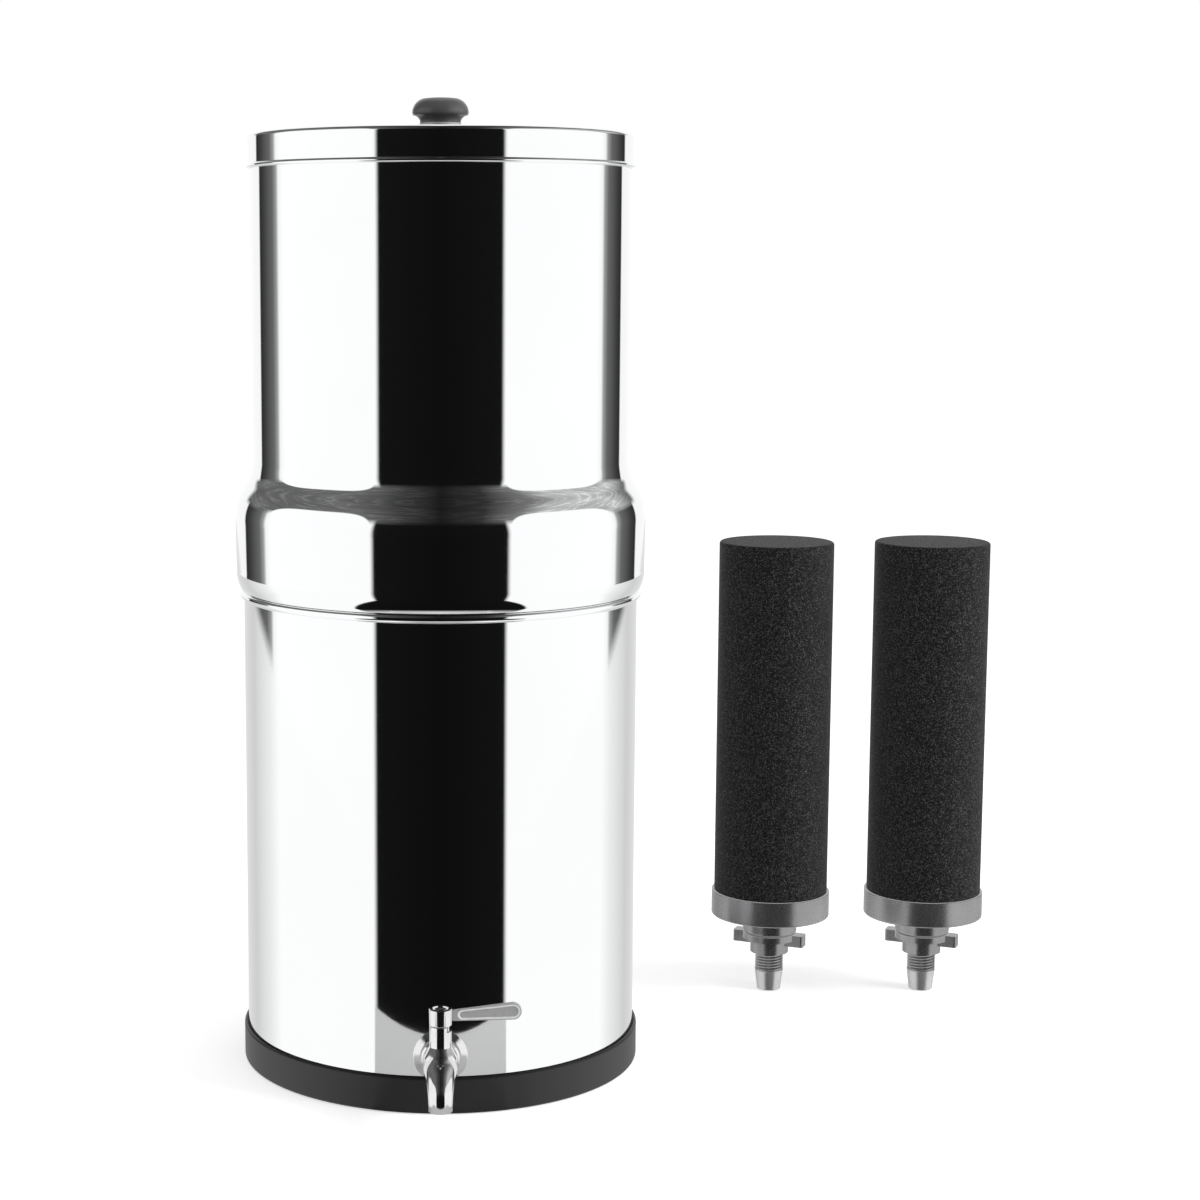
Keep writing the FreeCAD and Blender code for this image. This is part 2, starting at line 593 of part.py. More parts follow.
def make_tap_fixings():
    """Flange, washers and lock nut that clamp the tap to the curved wall."""
    axis = (0, 0, "tap_height")
    flange = (
        ("shank_hole", "flange_back"),
        ("flange_radius", "flange_back"),
        ("flange_radius", "flange_back + flange_edge"),
        ("flange_cone_radius", "flange_front"),
        ("shank_hole", "flange_front"),
    )
    keep(turned("tap_flange", flange, axis, OUTWARD), "tap_flange")
    outer = ring("outer_washer_blank", "shank_hole", "washer_radius",
                 "lower_inside - washer_radius", "flange_back", axis, OUTWARD)
    wall = primitive("Cylinder", "outer_wall_form", Radius="lower_radius + washer_gap",
                     Height="2 * tap_height")
    keep(boolean("Cut", "tap_outer_washer", outer, wall), "tap_outer_washer")
    inner = ring("inner_washer_blank", "shank_hole", "washer_radius", "nut_front",
                 "lower_radius", axis, OUTWARD)
    drum = primitive("Cylinder", "inner_wall_form", Radius="lower_inside - washer_gap",
                     Height="2 * tap_height")
    keep(boolean("Common", "tap_inner_washer", inner, drum), "tap_inner_washer")
    back = (0, "lock_nut_height - nut_front", "tap_height")
    prism = primitive("Prism", "lock_nut_blank", back, OUTWARD, Circumradius="lock_nut_radius",
                      Height="lock_nut_height")
    prism.Polygon = 6
    bore = primitive("Cylinder", "lock_nut_bore", back, OUTWARD,
                     Radius="shank_radius + thread_gap", Height="lock_nut_height")
    keep(boolean("Cut", "tap_lock_nut", prism, bore), "tap_lock_nut")


def make_tap_body():
    """A cast body: shank, collar, upright barrel and a spout that bends down and tapers."""
    low = "shank_end"
    collar = "flange_front + collar_height"
    points = (
        (0, low),
        ("shank_radius - shank_bevel", low),
        ("shank_radius", low + " + shank_bevel"),
        ("shank_radius", "flange_front"),
        ("collar_radius", "flange_front"),
        ("collar_radius", collar),
        ("body_radius", collar + " + collar_slope", "collar_curve", 1),
        ("body_radius", "bend_place"),
        (0, "bend_place"),
    )
    body = turned("tap_body", points, (0, 0, "tap_height"), OUTWARD)
    rounds = []
    for index in range(SPOUT_STEPS + 1):
        share = index / SPOUT_STEPS
        angle = "%g deg" % (90 * share)
        across = "-bend_radius * (1 - cos(%s))" % angle
        along = "bend_place + bend_radius * sin(%s)" % angle
        taper = (1 - share) ** SPOUT_TAPER
        section = new_sketch(body, "XY_Plane", (0, across, along), ((1, 0, 0), angle))
        draw_circle(section, 0, 0, "spout_radius + (body_radius - spout_radius) * %.4f" % taper)
        rounds.append(section)
    feature(body, "AdditiveLoft", rounds[0], Sections=rounds[1:])
    lip = new_sketch(body, "XZ_Plane", (0, 0, "bend_radius"))
    draw_circle(lip, 0, "bend_place + bend_radius", "spout_radius")
    feature(body, "Pad", lip, Length="spout_drop")
    barrel = new_sketch(body, "XZ_Plane")
    draw_circle(barrel, 0, "barrel_place", "barrel_radius")
    feature(body, "Pad", barrel, Length="barrel_height", Reversed=True)

    chamber = new_sketch(body, "XY_Plane", (0, 0, "shank_end"))
    draw_circle(chamber, 0, 0, "chamber_radius")
    feature(body, "Pocket", chamber, Reversed=True,
            Length="barrel_place + seat_reach + seat_gap - shank_end")
    passage = new_sketch(body, "XY_Plane", (0, 0, "bend_place"))
    draw_circle(passage, 0, 0, "passage_radius")
    draw_axis(passage, ("-body_radius", "-bend_radius"), ("body_radius", "-bend_radius"))
    feature(body, "Groove", passage, ReferenceAxis=(passage, ["Axis0"]), Angle=90.0)
    outlet = new_sketch(body, "XZ_Plane", (0, 0, "bend_radius + spout_drop"))
    draw_circle(outlet, 0, "bend_place + bend_radius", "outlet_radius")
    feature(body, "Pocket", outlet, Length="outlet_depth")
    stem = new_sketch(body, "XZ_Plane", (0, 0, "-barrel_height"))
    draw_circle(stem, 0, "barrel_place", "stem_hole")
    feature(body, "Pocket", stem, Length="barrel_height", Reversed=True)
    seal = new_sketch(body, "XZ_Plane", (0, 0, "-barrel_height"))
    draw_circle(seal, 0, "barrel_place", "seal_radius")
    feature(body, "Pocket", seal, Length="seal_depth", Reversed=True)
    notch = new_sketch(body, "XY_Plane", (0, 0, "barrel_place"), ((0, 1, 0), "stop_start"))
    draw_outline(notch, (
        ("stop_inner", "barrel_height - stop_depth"),
        ("barrel_radius" + PAST, "barrel_height - stop_depth"),
        ("barrel_radius" + PAST, "barrel_height" + PAST),
        ("stop_inner", "barrel_height" + PAST),
    ))
    feature(body, "Groove", notch, ReferenceAxis=(notch, ["V_Axis"]), Angle="stop_angle")
    keep(body, "tap_body")


def make_valve():
    """Ball, two seats, the sleeve behind them, and the stem with its seal."""
    middle = (0, "-barrel_place", "tap_height")
    touch = "sqrt(ball_hold ^ 2 - seat_bore ^ 2)"
    lip = "sqrt(ball_hold ^ 2 - seat_face ^ 2)"
    edge = "chamber_radius - seat_gap"
    seat = (
        ("seat_bore", touch),
        (lip, "seat_face", "ball_hold", 1),
        (edge, "seat_face"),
        (edge, "seat_reach"),
        ("seat_bore", "seat_reach"),
    )
    inward = FreeCAD.Rotation(FreeCAD.Vector(1, 0, 0), -90)
    seats = [turned("front_seat", seat, middle, OUTWARD), turned("rear_seat", seat, middle, inward)]
    group("valve_seats", seats)
    back = "-seat_reach - seat_gap"
    sleeve = ring("seat_retainer", "seat_bore", edge, back + " - retainer_height", back,
                  middle, OUTWARD)
    keep(sleeve, "seat_retainer")

    ball = primitive("Sphere", "ball_blank", middle, Radius="ball_radius")
    across = FreeCAD.Rotation(FreeCAD.Vector(0, 1, 0), 90)
    bore = primitive("Cylinder", "ball_bore_form", ("-ball_radius", middle[1], middle[2]), across,
                     Radius="ball_bore", Height="2 * ball_radius")
    corner = ("-ball_radius", "-barrel_place - tang_width / 2 - tang_gap",
              "tap_height + ball_radius - tang_height - tang_gap")
    slot = primitive("Box", "ball_slot_form", corner, Length="2 * ball_radius",
                     Width="tang_width + 2 * tang_gap", Height="tang_height" + PAST)
    cuts = doc.addObject("Part::MultiFuse", "ball_cuts")
    cuts.Shapes = [bore, slot]
    keep(boolean("Cut", "valve_ball", ball, cuts), "valve_ball")

    foot = "ball_radius - tang_height"
    shoulder = "ball_radius + stem_lift"
    top = "barrel_height + hub_gap"
    body = new_body("valve_stem", middle)
    tang = new_sketch(body, "XY_Plane", (0, 0, foot))
    half = "tang_width / 2"
    reach = "sqrt(stem_radius ^ 2 - (tang_width / 2) ^ 2)"
    draw_outline(tang, (("-" + reach, "-" + half), (reach, "-" + half), (reach, half),
                        ("-" + reach, half)))
    feature(body, "Pad", tang, Length="tang_height + stem_lift")
    round_part = new_sketch(body, "XY_Plane", (0, 0, shoulder))
    draw_circle(round_part, 0, 0, "stem_radius")
    feature(body, "Pad", round_part, Length=top + " - (" + shoulder + ")")
    square = new_sketch(body, "XY_Plane", (0, 0, top))
    side = "stem_square / 2"
    draw_outline(square, (("-" + side, "-" + side), (side, "-" + side), (side, side),
                          ("-" + side, side)))
    feature(body, "Pad", square, Length="square_height")
    tapped = new_sketch(body, "XY_Plane", (0, 0, top + " + square_height"))
    draw_circle(tapped, 0, 0, "lever_screw_radius + thread_gap")
    feature(body, "Pocket", tapped, Length="lever_screw_length + drill_spare")
    keep(body, "valve_stem")

    seal = ring("stem_seal", "stem_hole", "seal_radius - stem_gap", "barrel_height - seal_depth",
                "barrel_height", middle)
    keep(seal, "stem_seal")


def make_lever():
    """Hub with a stop lug, a paddle with a sunk pad, and the screw that holds them."""
    base = (0, "-barrel_place", "hub_level")
    floor = "hub_height - hub_recess_depth"
    points = (
        (0, 0),
        ("hub_radius", 0),
        ("hub_top_radius", "hub_height - hub_edge"),
        ("hub_top_radius - hub_edge", "hub_height"),
        ("hub_recess_radius", "hub_height"),
        ("hub_recess_radius", floor),
        (0, floor),
    )
    body = turned("tap_lever", points, base)
    tip_x = "lever_length - lever_tip"
    tip_z = "lever_foot + lever_rise + lever_tip"
    paddle = new_sketch(body, "XZ_Plane", (0, 0, "-lever_thick / 2"))
    root = "hub_radius - lever_sink"
    draw_outline(paddle, (
        (root, "lever_foot"),
        (tip_x, "lever_foot + lever_rise"),
        ("lever_length", tip_z, "lever_tip", -1),
        (tip_x, tip_z + " + lever_tip", "lever_tip", -1),
        (root, "lever_foot + lever_root"),
    ))
    feature(body, "Pad", paddle, Length="lever_thick")
    rise = "lever_rise * pad_start / (lever_length - lever_tip)"
    slope = "(lever_rise + 2 * lever_tip - lever_root) / (lever_length - lever_tip)"
    pad = new_sketch(body, "XZ_Plane", (0, 0, "lever_thick / 2"))
    low = "lever_foot + lever_rim + " + rise
    tall = "(lever_root - 2 * lever_rim + " + slope + " * pad_start - " + rise + ")"
    draw_outline(pad, (
        ("pad_start", low, "%g * %s / 2" % (NEARLY_HALF, tall), -1),
        (tip_x, "lever_foot + lever_rise + lever_rim"),
        (tip_x, tip_z + " + lever_tip - lever_rim", "%g * (lever_tip - lever_rim)" % NEARLY_HALF, -1),
        ("pad_start", low + " + " + tall),
    ))
    feature(body, "Pocket", pad, Length="pad_depth")
    lug_start = "stop_start + stop_angle - lug_angle - lug_slack"
    lug = new_sketch(body, "XZ_Plane", (0, 0, 0), ((0, 1, 0), lug_start))
    draw_outline(lug, (
        ("stop_inner + lug_gap", "lug_gap - stop_depth"),
        ("hub_radius - lug_inset", "lug_gap - stop_depth"),
        ("hub_radius - lug_inset", "lug_sink"),
        ("stop_inner + lug_gap", "lug_sink"),
    ))
    feature(body, "Revolution", lug, ReferenceAxis=(lug, ["V_Axis"]), Angle="lug_angle")
    side = "stem_square / 2 + square_gap"
    socket = new_sketch(body, "XY_Plane")
    draw_outline(socket, (("-" + side, "-(" + side + ")"), (side, "-(" + side + ")"), (side, side),
                          ("-(" + side + ")", side)))
    feature(body, "Pocket", socket, Length="square_height + square_gap", Reversed=True)
    bore = new_sketch(body, "XY_Plane")
    draw_circle(bore, 0, 0, "lever_screw_radius + screw_gap")
    feature(body, "Pocket", bore, Length="hub_height", Reversed=True)
    keep(body, "tap_lever")

    seat = "hub_height - hub_recess_depth"
    head = seat + " + lever_head_height"
    screw = turned("lever_screw", (
        (0, seat + " - lever_screw_length"),
        ("lever_screw_radius", seat + " - lever_screw_length"),
        ("lever_screw_radius", seat),
        ("lever_head_radius", seat),
        ("lever_head_radius", head + " - lever_head_bevel"),
        ("lever_head_radius - lever_head_bevel", head),
        (0, head),
    ), base)
    slot = new_sketch(screw, "XY_Plane", (0, 0, head))
    half = "lever_slot / 2"
    reach = "(lever_head_radius" + PAST + ")"
    draw_outline(slot, (("-" + reach, "-" + half), (reach, "-" + half), (reach, half),
                        ("-" + reach, half)))
    feature(screw, "Pocket", slot, Length="lever_slot_depth")
    keep(screw, "lever_screw")


def make_element(name, x, y, z, nut_level):
    """One filter element standing on its washer at (x, y, z): a hollow carbon block in a
    moulded cap, with a hollow threaded stem below and a wing nut at nut_level under z."""
    base = (x, y, z)
    top = "cap_top + carbon_height"
    carbon = turned(name + "_carbon", (
        ("carbon_bore", "carbon_foot"),
        ("carbon_radius", "carbon_foot"),
        ("carbon_radius", top + " - carbon_edge"),
        ("carbon_radius - carbon_edge", top, "carbon_edge", -1),
        (0, top),
        (0, top + " - carbon_roof"),
        ("carbon_bore", top + " - carbon_roof"),
    ), base)
    keep(carbon, name + "_carbon")

    socket = "neck_foot + pipe_socket"
    cap = turned(name + "_cap", (
        ("pipe_socket_radius", "neck_foot"),
        ("neck_radius", "neck_foot"),
        ("neck_radius", "cap_foot"),
        ("cap_radius - cap_edge", "cap_foot"),
        ("cap_radius", "cap_foot + cap_edge", "cap_edge", -1),
        ("cap_radius", "cap_top"),
        ("carbon_radius + cap_gap", "cap_top"),
        ("carbon_radius + cap_gap", "carbon_foot"),
        ("pipe_bore", "carbon_foot"),
        ("pipe_bore", socket),
        ("pipe_socket_radius", socket),
    ), base)
    slot = new_sketch(cap, "XZ_Plane", (0, 0, "neck_radius" + PAST))
    half = "neck_slot_width / 2"
    slot_foot = "cap_foot - neck_slot_place - neck_slot_height / 2"
    slot_top = slot_foot + " + neck_slot_height"
    draw_outline(slot, (("-" + half, slot_foot), (half, slot_foot), (half, slot_top),
                        ("-" + half, slot_top)))
    pocket = feature(cap, "Pocket", slot, Length="neck_slot_depth" + PAST)
    turned_copies(cap, pocket, 4)
    keep(cap, name + "_cap")

    stem = turned(name + "_stem", (
        ("pipe_bore", "-element_drop"),
        ("spigot_radius - spigot_edge", "-element_drop"),
        ("spigot_radius", "spigot_edge - element_drop"),
        ("pipe_radius", "spigot_height - element_drop"),
        ("pipe_radius", socket),
        ("pipe_bore", socket),
    ), base)
    keep(stem, name + "_stem")
    washer = ring(name + "_washer", "pipe_radius + thread_gap", "element_washer_radius", 0,
                  "element_washer_height", base)
    keep(washer, name + "_washer")

    nut = turned(name + "_wing_nut", (
        ("pipe_radius + thread_gap", "-wing_nut_height"),
        ("wing_hub_radius", "-wing_nut_height"),
        ("wing_hub_radius", "-wing_ring_height"),
        ("wing_ring_radius", "-wing_ring_height"),
        ("wing_ring_radius", 0),
        ("pipe_radius + thread_gap", 0),
    ), (x, y, "%s - %s" % (z, nut_level)), FreeCAD.Rotation(UP, value("wing_turn")))
    nut.setExpression("Placement.Rotation.Angle", full("wing_turn"))
    wing = new_sketch(nut, "XY_Plane", (0, 0, "-wing_drop"))
    half = "wing_width / 2"
    root = "wing_hub_radius - wing_sink"
    draw_outline(wing, (
        (root, "-" + half),
        ("wing_reach - wing_round", "-" + half),
        ("wing_reach", "wing_round - " + half, "wing_round", -1),
        ("wing_reach", half + " - wing_round"),
        ("wing_reach - wing_round", half, "wing_round", -1),
        (root, half),
    ))
    pad = feature(nut, "Pad", wing, Length="wing_drop")
    turned_copies(nut, pad, 2)
    keep(nut, name + "_wing_nut")


def make_blanking_plugs():
    """Plugs, washers and nuts in the two floor holes that carry no element."""
    plugs, washers, nuts = [], [], []
    for index, sign in enumerate(("-", "")):
        base = (0, sign + "hole_circle", "floor_level")
        top = "element_washer_height + plug_height"
        plugs.append(turned("plug_%d" % index, (
            (0, "element_washer_height - plug_length"),
            ("pipe_radius", "element_washer_height - plug_length"),
            ("pipe_radius", "element_washer_height"),
            ("plug_radius", "element_washer_height"),
            ("plug_radius", top + " - plug_edge"),
            ("plug_radius - plug_edge", top, "plug_edge", -1),
            (0, top),
        ), base))
        washers.append(ring("plug_washer_%d" % index, "pipe_radius + thread_gap",
                            "element_washer_radius", 0, "element_washer_height", base))
        foot = (0, base[1], "floor_level - shell_wall - plug_nut_height")
        prism = primitive("Prism", "plug_nut_blank_%d" % index, foot,
                          Circumradius="plug_nut_radius", Height="plug_nut_height")
        prism.Polygon = 6
        bore = primitive("Cylinder", "plug_nut_bore_%d" % index, foot,
                         Radius="pipe_radius + thread_gap", Height="plug_nut_height")
        nuts.append(boolean("Cut", "plug_nut_%d" % index, prism, bore))
    group("blanking_plugs", plugs)
    group("plug_washers", washers)
    group("plug_nuts", nuts)


def write_parts():
    """Checks every object of the document, then writes one file for each sub-part."""
    doc.recompute()
    for item in doc.Objects:
        if {"Invalid", "Error"} & set(item.State):
            raise RuntimeError("%s is in state %s" % (item.Name, item.State))
    for item in nodes:
        if item.Shape.isNull() or not item.Shape.isValid() or not item.Shape.Solids:
            raise RuntimeError("%s has no valid solid" % item.Label)
    os.makedirs("parts", exist_ok=True)
    for item in nodes:
        item.Shape.exportStep("parts/%s.step" % item.Label)
        box = item.Shape.BoundBox
        print("%-24s solids %d volume %10.1f  x %.1f..%.1f y %.1f..%.1f z %.1f..%.1f" % (
            item.Label, len(item.Shape.Solids), item.Shape.Volume, box.XMin, box.XMax,
            box.YMin, box.YMax, box.ZMin, box.ZMax))


make_base()
make_lower_chamber()
make_upper_chamber()
make_lid()
make_knob()
make_tap_fixings()
make_tap_body()
make_valve()
make_lever()
make_element("left_element", "-hole_circle", 0, "floor_level", "shell_wall")
make_element("right_element", "hole_circle", 0, "floor_level", "shell_wall")
make_element("loose_near", "pair_near", "pair_back", "element_drop", 0)
make_element("loose_far", "pair_far", "pair_back", "element_drop", 0)
make_blanking_plugs()
write_parts()
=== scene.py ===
import json
import math

import bmesh
import bpy
import mathutils
import numpy as np
from bpy.props import FloatProperty, FloatVectorProperty, IntProperty, PointerProperty
from bpy.types import Operator, Panel, PropertyGroup
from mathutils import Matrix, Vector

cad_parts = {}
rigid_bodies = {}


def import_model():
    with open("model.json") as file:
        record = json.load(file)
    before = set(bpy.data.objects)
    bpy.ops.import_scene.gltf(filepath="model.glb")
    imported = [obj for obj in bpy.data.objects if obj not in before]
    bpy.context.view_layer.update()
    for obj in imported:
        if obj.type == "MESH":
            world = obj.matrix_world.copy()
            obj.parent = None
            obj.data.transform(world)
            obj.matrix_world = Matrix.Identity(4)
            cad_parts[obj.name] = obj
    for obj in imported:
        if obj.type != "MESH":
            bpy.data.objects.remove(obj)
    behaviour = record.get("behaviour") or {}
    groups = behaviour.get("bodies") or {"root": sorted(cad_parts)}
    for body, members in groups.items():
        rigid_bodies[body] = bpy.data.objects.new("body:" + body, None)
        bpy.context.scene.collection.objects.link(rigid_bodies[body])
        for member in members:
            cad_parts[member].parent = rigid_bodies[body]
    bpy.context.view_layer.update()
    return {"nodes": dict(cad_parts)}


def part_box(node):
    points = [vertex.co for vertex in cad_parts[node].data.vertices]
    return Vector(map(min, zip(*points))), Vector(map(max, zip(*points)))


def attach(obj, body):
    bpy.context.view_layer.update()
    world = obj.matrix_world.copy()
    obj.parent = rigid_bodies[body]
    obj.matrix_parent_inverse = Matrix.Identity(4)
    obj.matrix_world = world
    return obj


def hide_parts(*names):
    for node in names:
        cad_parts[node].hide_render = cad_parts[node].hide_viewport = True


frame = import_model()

bl_info = {
    "name": "Gravity Water Filter",
    "version": (1, 0, 0),
    "blender": (4, 5, 0),
    "location": "View3D > Sidebar > Filter",
    "description": "Dresses a steel gravity water filter: chambers, lid, tap and elements",
    "category": "Add Mesh",
}

MM = 0.001
TAU = 2 * math.pi
EDGE = 0.3 * MM
FINE_HOLD = 0.05 * MM


def length(millimetres, description):
    """A size that a user may change, kept in metres."""
    return FloatProperty(default=millimetres * MM, description=description, unit="LENGTH",
                         subtype="DISTANCE", precision=5)


def colour(default, description):
    """A colour that a user may change."""
    return FloatVectorProperty(default=default, description=description, subtype="COLOR", size=4,
                               min=0.0, max=1.0)


def named(group):
    """Gives each property of a group the name that its key spells."""
    for key, made in group.__annotations__.items():
        made.keywords["name"] = key.replace("_", " ").capitalize()
    return group


@named
class FILTER_PG_vessel(PropertyGroup):
    """Sizes of the chambers, the lid, the knob and the base."""
    wall: length(0.8, "Thickness of the steel sheet")
    lower_radius: length(108.0, "Outside of the lower chamber")
    pan_radius: length(106.6, "Outside of the pan let into the lower chamber")
    fold: length(2.6, "Width of the fold that rests on the rim")
    foot_radius: length(111.9, "Outside of the bulge above its foot")
    rim_drop: length(1.05, "How far the upper rim and the lid lie under the solids")
    bulge_height: length(38.5, "Widest place of the bulge above the rim")
    shoulder_height: length(32.0, "Height of the S above the bulge")
    upper_radius: length(102.7, "Outside of the upper chamber")
    lid_radius: length(104.2, "Outside of the lid's skirt")
    lid_dome: length(84.0, "Radius at which the lid starts to rise")
    lid_rise: length(3.6, "Rise of the lid to its flat middle")
    knob_lift: length(0.3, "How far the knob stands above the solid")
    segments: IntProperty(default=256, min=32, max=512, description="Faces round a chamber")


@named
class FILTER_PG_tap(PropertyGroup):
    """Sizes of the tap."""
    height: length(32.0, "Tap axis above the worktop")
    barrel_place: length(130.0, "Barrel axis ahead of the vessel's axis")
    barrel_radius: length(5.7, "Outside of the upright barrel")
    body_radius: length(8.9, "Outside of the tap's body")
    collar_radius: length(10.0, "Collar that presses on the flange")
    spout_radius: length(6.2, "Outside of the spout's mouth")
    bend_place: length(135.0, "Start of the spout's bend ahead of the axis")
    bend_radius: length(15.0, "Radius of the spout's bend")
    outlet_radius: length(4.6, "Bore at the mouth")
    notch_inner: length(4.4, "Inner radius of the notch that stops the lever")
    notch_depth: length(2.8, "Depth of that notch")
    hub_radius: length(5.75, "Lever hub at its foot")
    lever_thick: length(3.0, "Thickness of the paddle")
    lever_tip: length(4.35, "Radius of the paddle's tip")


@named
class FILTER_PG_element(PropertyGroup):
    """Sizes of the filter elements."""
    neck_radius: length(16.25, "Neck under the cap")
    neck_height: length(10.4, "Height of the neck")
    thread_radius: length(8.5, "Stem over its thread")
    thread_pitch: length(1.75, "Pitch of the stem's thread")
    spigot_height: length(12.1, "Plain tapered end of the stem")


@named
class FILTER_PG_finish(PropertyGroup):
    """Colours of the finishes."""
    steel: colour((0.88, 0.885, 0.89, 1), "Polished sheet")
    satin: colour((0.50, 0.50, 0.505, 1), "Lever")
    # The rim's colour is a painted highlight: the lever's satin casting made much lighter.
    rim: colour((0.95, 0.95, 0.95, 1), "Rim round the lever's pad")
    cast: colour((0.78, 0.78, 0.785, 1), "Polished casting")
    rubber: colour((0.009, 0.009, 0.0095, 1), "Base")
    knob: colour((0.085, 0.085, 0.087, 1), "Knob")
    silicone: colour((0.30, 0.30, 0.29, 1), "Seals")
    plastic: colour((0.30, 0.30, 0.305, 1), "Caps, stems and nuts")
    spigot: colour((0.62, 0.62, 0.625, 1), "Plain end of the stems")
    seat: colour((0.75, 0.75, 0.73, 1), "Valve seats")
    carbon: colour((0.010, 0.010, 0.0106, 1), "Carbon block")


def vessel():
    return bpy.context.scene.filter_vessel


def tap():
    return bpy.context.scene.filter_tap


def element():
    return bpy.context.scene.filter_element


def finish():
    return bpy.context.scene.filter_finish


def arc(centre, radius, start, end, count=12):
    """Points on a circle of that centre and radius, from one angle in degrees to another."""
    angle = np.radians(np.linspace(start, end, count))
    return np.stack([centre[0] + radius * np.cos(angle), centre[1] + radius * np.sin(angle)], 1)


def bow(start, end, radius, side, count=12):
    """An arc between two points: side 1 bows to the left of the way along it, -1 to the
    right. Its middle lies square to the chord's, sqrt(radius^2 - (chord / 2)^2) away."""
    start, end = np.array(start), np.array(end)
    chord = end - start
    reach = np.linalg.norm(chord)
    left = np.array([-chord[1], chord[0]]) / reach
    middle = (start + end) / 2 - left * side * math.sqrt(radius ** 2 - (reach / 2) ** 2)
    first, last = (math.atan2(spot[1] - middle[1], spot[0] - middle[0]) for spot in (start, end))
    turn = (last - first + math.pi) % TAU - math.pi
    return arc(middle, radius, math.degrees(first), math.degrees(first + turn), count)


def rounded(corners, steps=7, hold=0.25 * MM):
    """An open outline through corners (x, y, radius). Each corner is replaced by the arc that
    touches its two sides: the arc starts radius * tan(half the turn) before the corner. A
    point is held a short way before and after each arc, so that flats shade flat."""
    spots = np.array([corner[:2] for corner in corners], float)
    radii = [corner[2] if len(corner) > 2 else 0 for corner in corners]
    rows = []
    for index, (here, radius) in enumerate(zip(spots, radii)):
        if radius == 0 or index in (0, len(spots) - 1):
            rows.append(here[None])
            continue
        before, after = spots[index - 1] - here, spots[index + 1] - here
        before, after = before / np.linalg.norm(before), after / np.linalg.norm(after)
        turn = math.pi - math.acos(np.clip(before @ after, -1, 1))
        reach = radius * math.tan(turn / 2)
        middle = before + after
        middle = here + middle / np.linalg.norm(middle) * radius / math.cos(turn / 2)
        first, last = here + before * reach - middle, here + after * reach - middle
        share = np.linspace(0, 1, steps)[:, None]
        bend = (np.sin((1 - share) * turn) * first + np.sin(share * turn) * last) / math.sin(turn)
        rows += [(here + before * (reach + hold))[None], middle + bend,
                 (here + after * (reach + hold))[None]]
    return np.concatenate(rows)


def grid_mesh(points, wrap_rows=False, shades=None):
    """A mesh from a grid of points, rows by columns, closed along its columns. Rows that lie
    on one point become a pole, and neighbours that lie on each other are merged, once the
    piece is finished. Shades gives for each row which of the piece's materials the faces above it have."""
    rows, columns = points.shape[:2]
    index = np.arange(rows * columns).reshape(rows, columns)
    below = index if wrap_rows else index[:-1]
    above = np.roll(index, -1, 0) if wrap_rows else index[1:]
    faces = np.stack([below, np.roll(below, -1, 1), np.roll(above, -1, 1), above], -1)
    mesh = bpy.data.meshes.new("grid")
    mesh.from_pydata(points.reshape(-1, 3), [], faces.reshape(-1, 4).tolist())
    if shades is not None:
        mesh.polygons.foreach_set("material_index", np.repeat(shades, columns).astype(np.int32))
    return mesh


def add_object(name, data):
    item = bpy.data.objects.new(name, data)
    bpy.context.scene.collection.objects.link(item)
    return item


def finish_piece(name, meshes, body, slot, nodes, finishes=(), sharp=None):
    """Joins meshes to one object at the origin, merges doubles, points the faces outwards,
    shades it smooth, and has it ride on its body. Its finish is its slot's, unless others
    are named."""
    work = bmesh.new()
    for mesh in meshes:
        work.from_mesh(mesh)
        bpy.data.meshes.remove(mesh)
    bmesh.ops.remove_doubles(work, verts=work.verts, dist=0.002 * MM)
    bmesh.ops.dissolve_degenerate(work, edges=work.edges, dist=0.001 * MM)
    bmesh.ops.recalc_face_normals(work, faces=work.faces)
    joined = bpy.data.meshes.new(name)
    work.to_mesh(joined)
    work.free()
    joined.polygons.foreach_set("use_smooth", np.ones(len(joined.polygons), bool))
    if sharp is not None:
        joined.set_sharp_from_angle(angle=math.radians(sharp))
    for key in finishes or (slot,):
        joined.materials.append(material(key))
    piece = add_object(name, joined)
    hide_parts(*nodes)
    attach(piece, body)


def spun(outline, angle):
    """A grid of points: each outline point (radius, height) at each of the angles about Z."""
    outline = np.asarray(outline, float)
    return np.stack([outline[:, :1] * np.cos(angle), outline[:, :1] * np.sin(angle),
                     np.repeat(outline[:, 1:2], len(angle), 1)], -1)


def turned(outline, segments=96, centre=(0, 0, 0), axis="Z"):
    """A surface of revolution: each outline point (radius, height) runs round a circle of
    that radius. Axis Z stands up, axis Y points forward out of the vessel's front."""
    points = spun(outline, np.linspace(0, TAU, segments, endpoint=False))
    if axis == "Y":
        points = points[..., [0, 2, 1]] * (1, -1, 1)
    return grid_mesh(points + np.array(centre))


def rolled_edge(radius, edge, bead, lip, way, count):
    """Outline of a rolled edge at the height edge: a tight neck two beads before it, then an
    arc of the bead's radius. Way is 1 where the sheet runs up to its edge, -1 down."""
    neck = edge - way * 2 * bead
    corner = rounded([(radius, neck - way * bead), (radius, neck, EDGE), (radius + lip, neck)],
                     hold=FINE_HOLD)
    roll = arc((radius, edge - way * bead), bead, -62 * way, 90 * way, count)
    return np.concatenate([corner[1:-1], roll])


def cylinder_box(node):
    """(centre of a node's box, its half width across X, its lowest and highest point)."""
    low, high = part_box(node)
    middle = ((low[0] + high[0]) / 2, (low[1] + high[1]) / 2)
    return middle, (high[0] - low[0]) / 2, low[2], high[2]


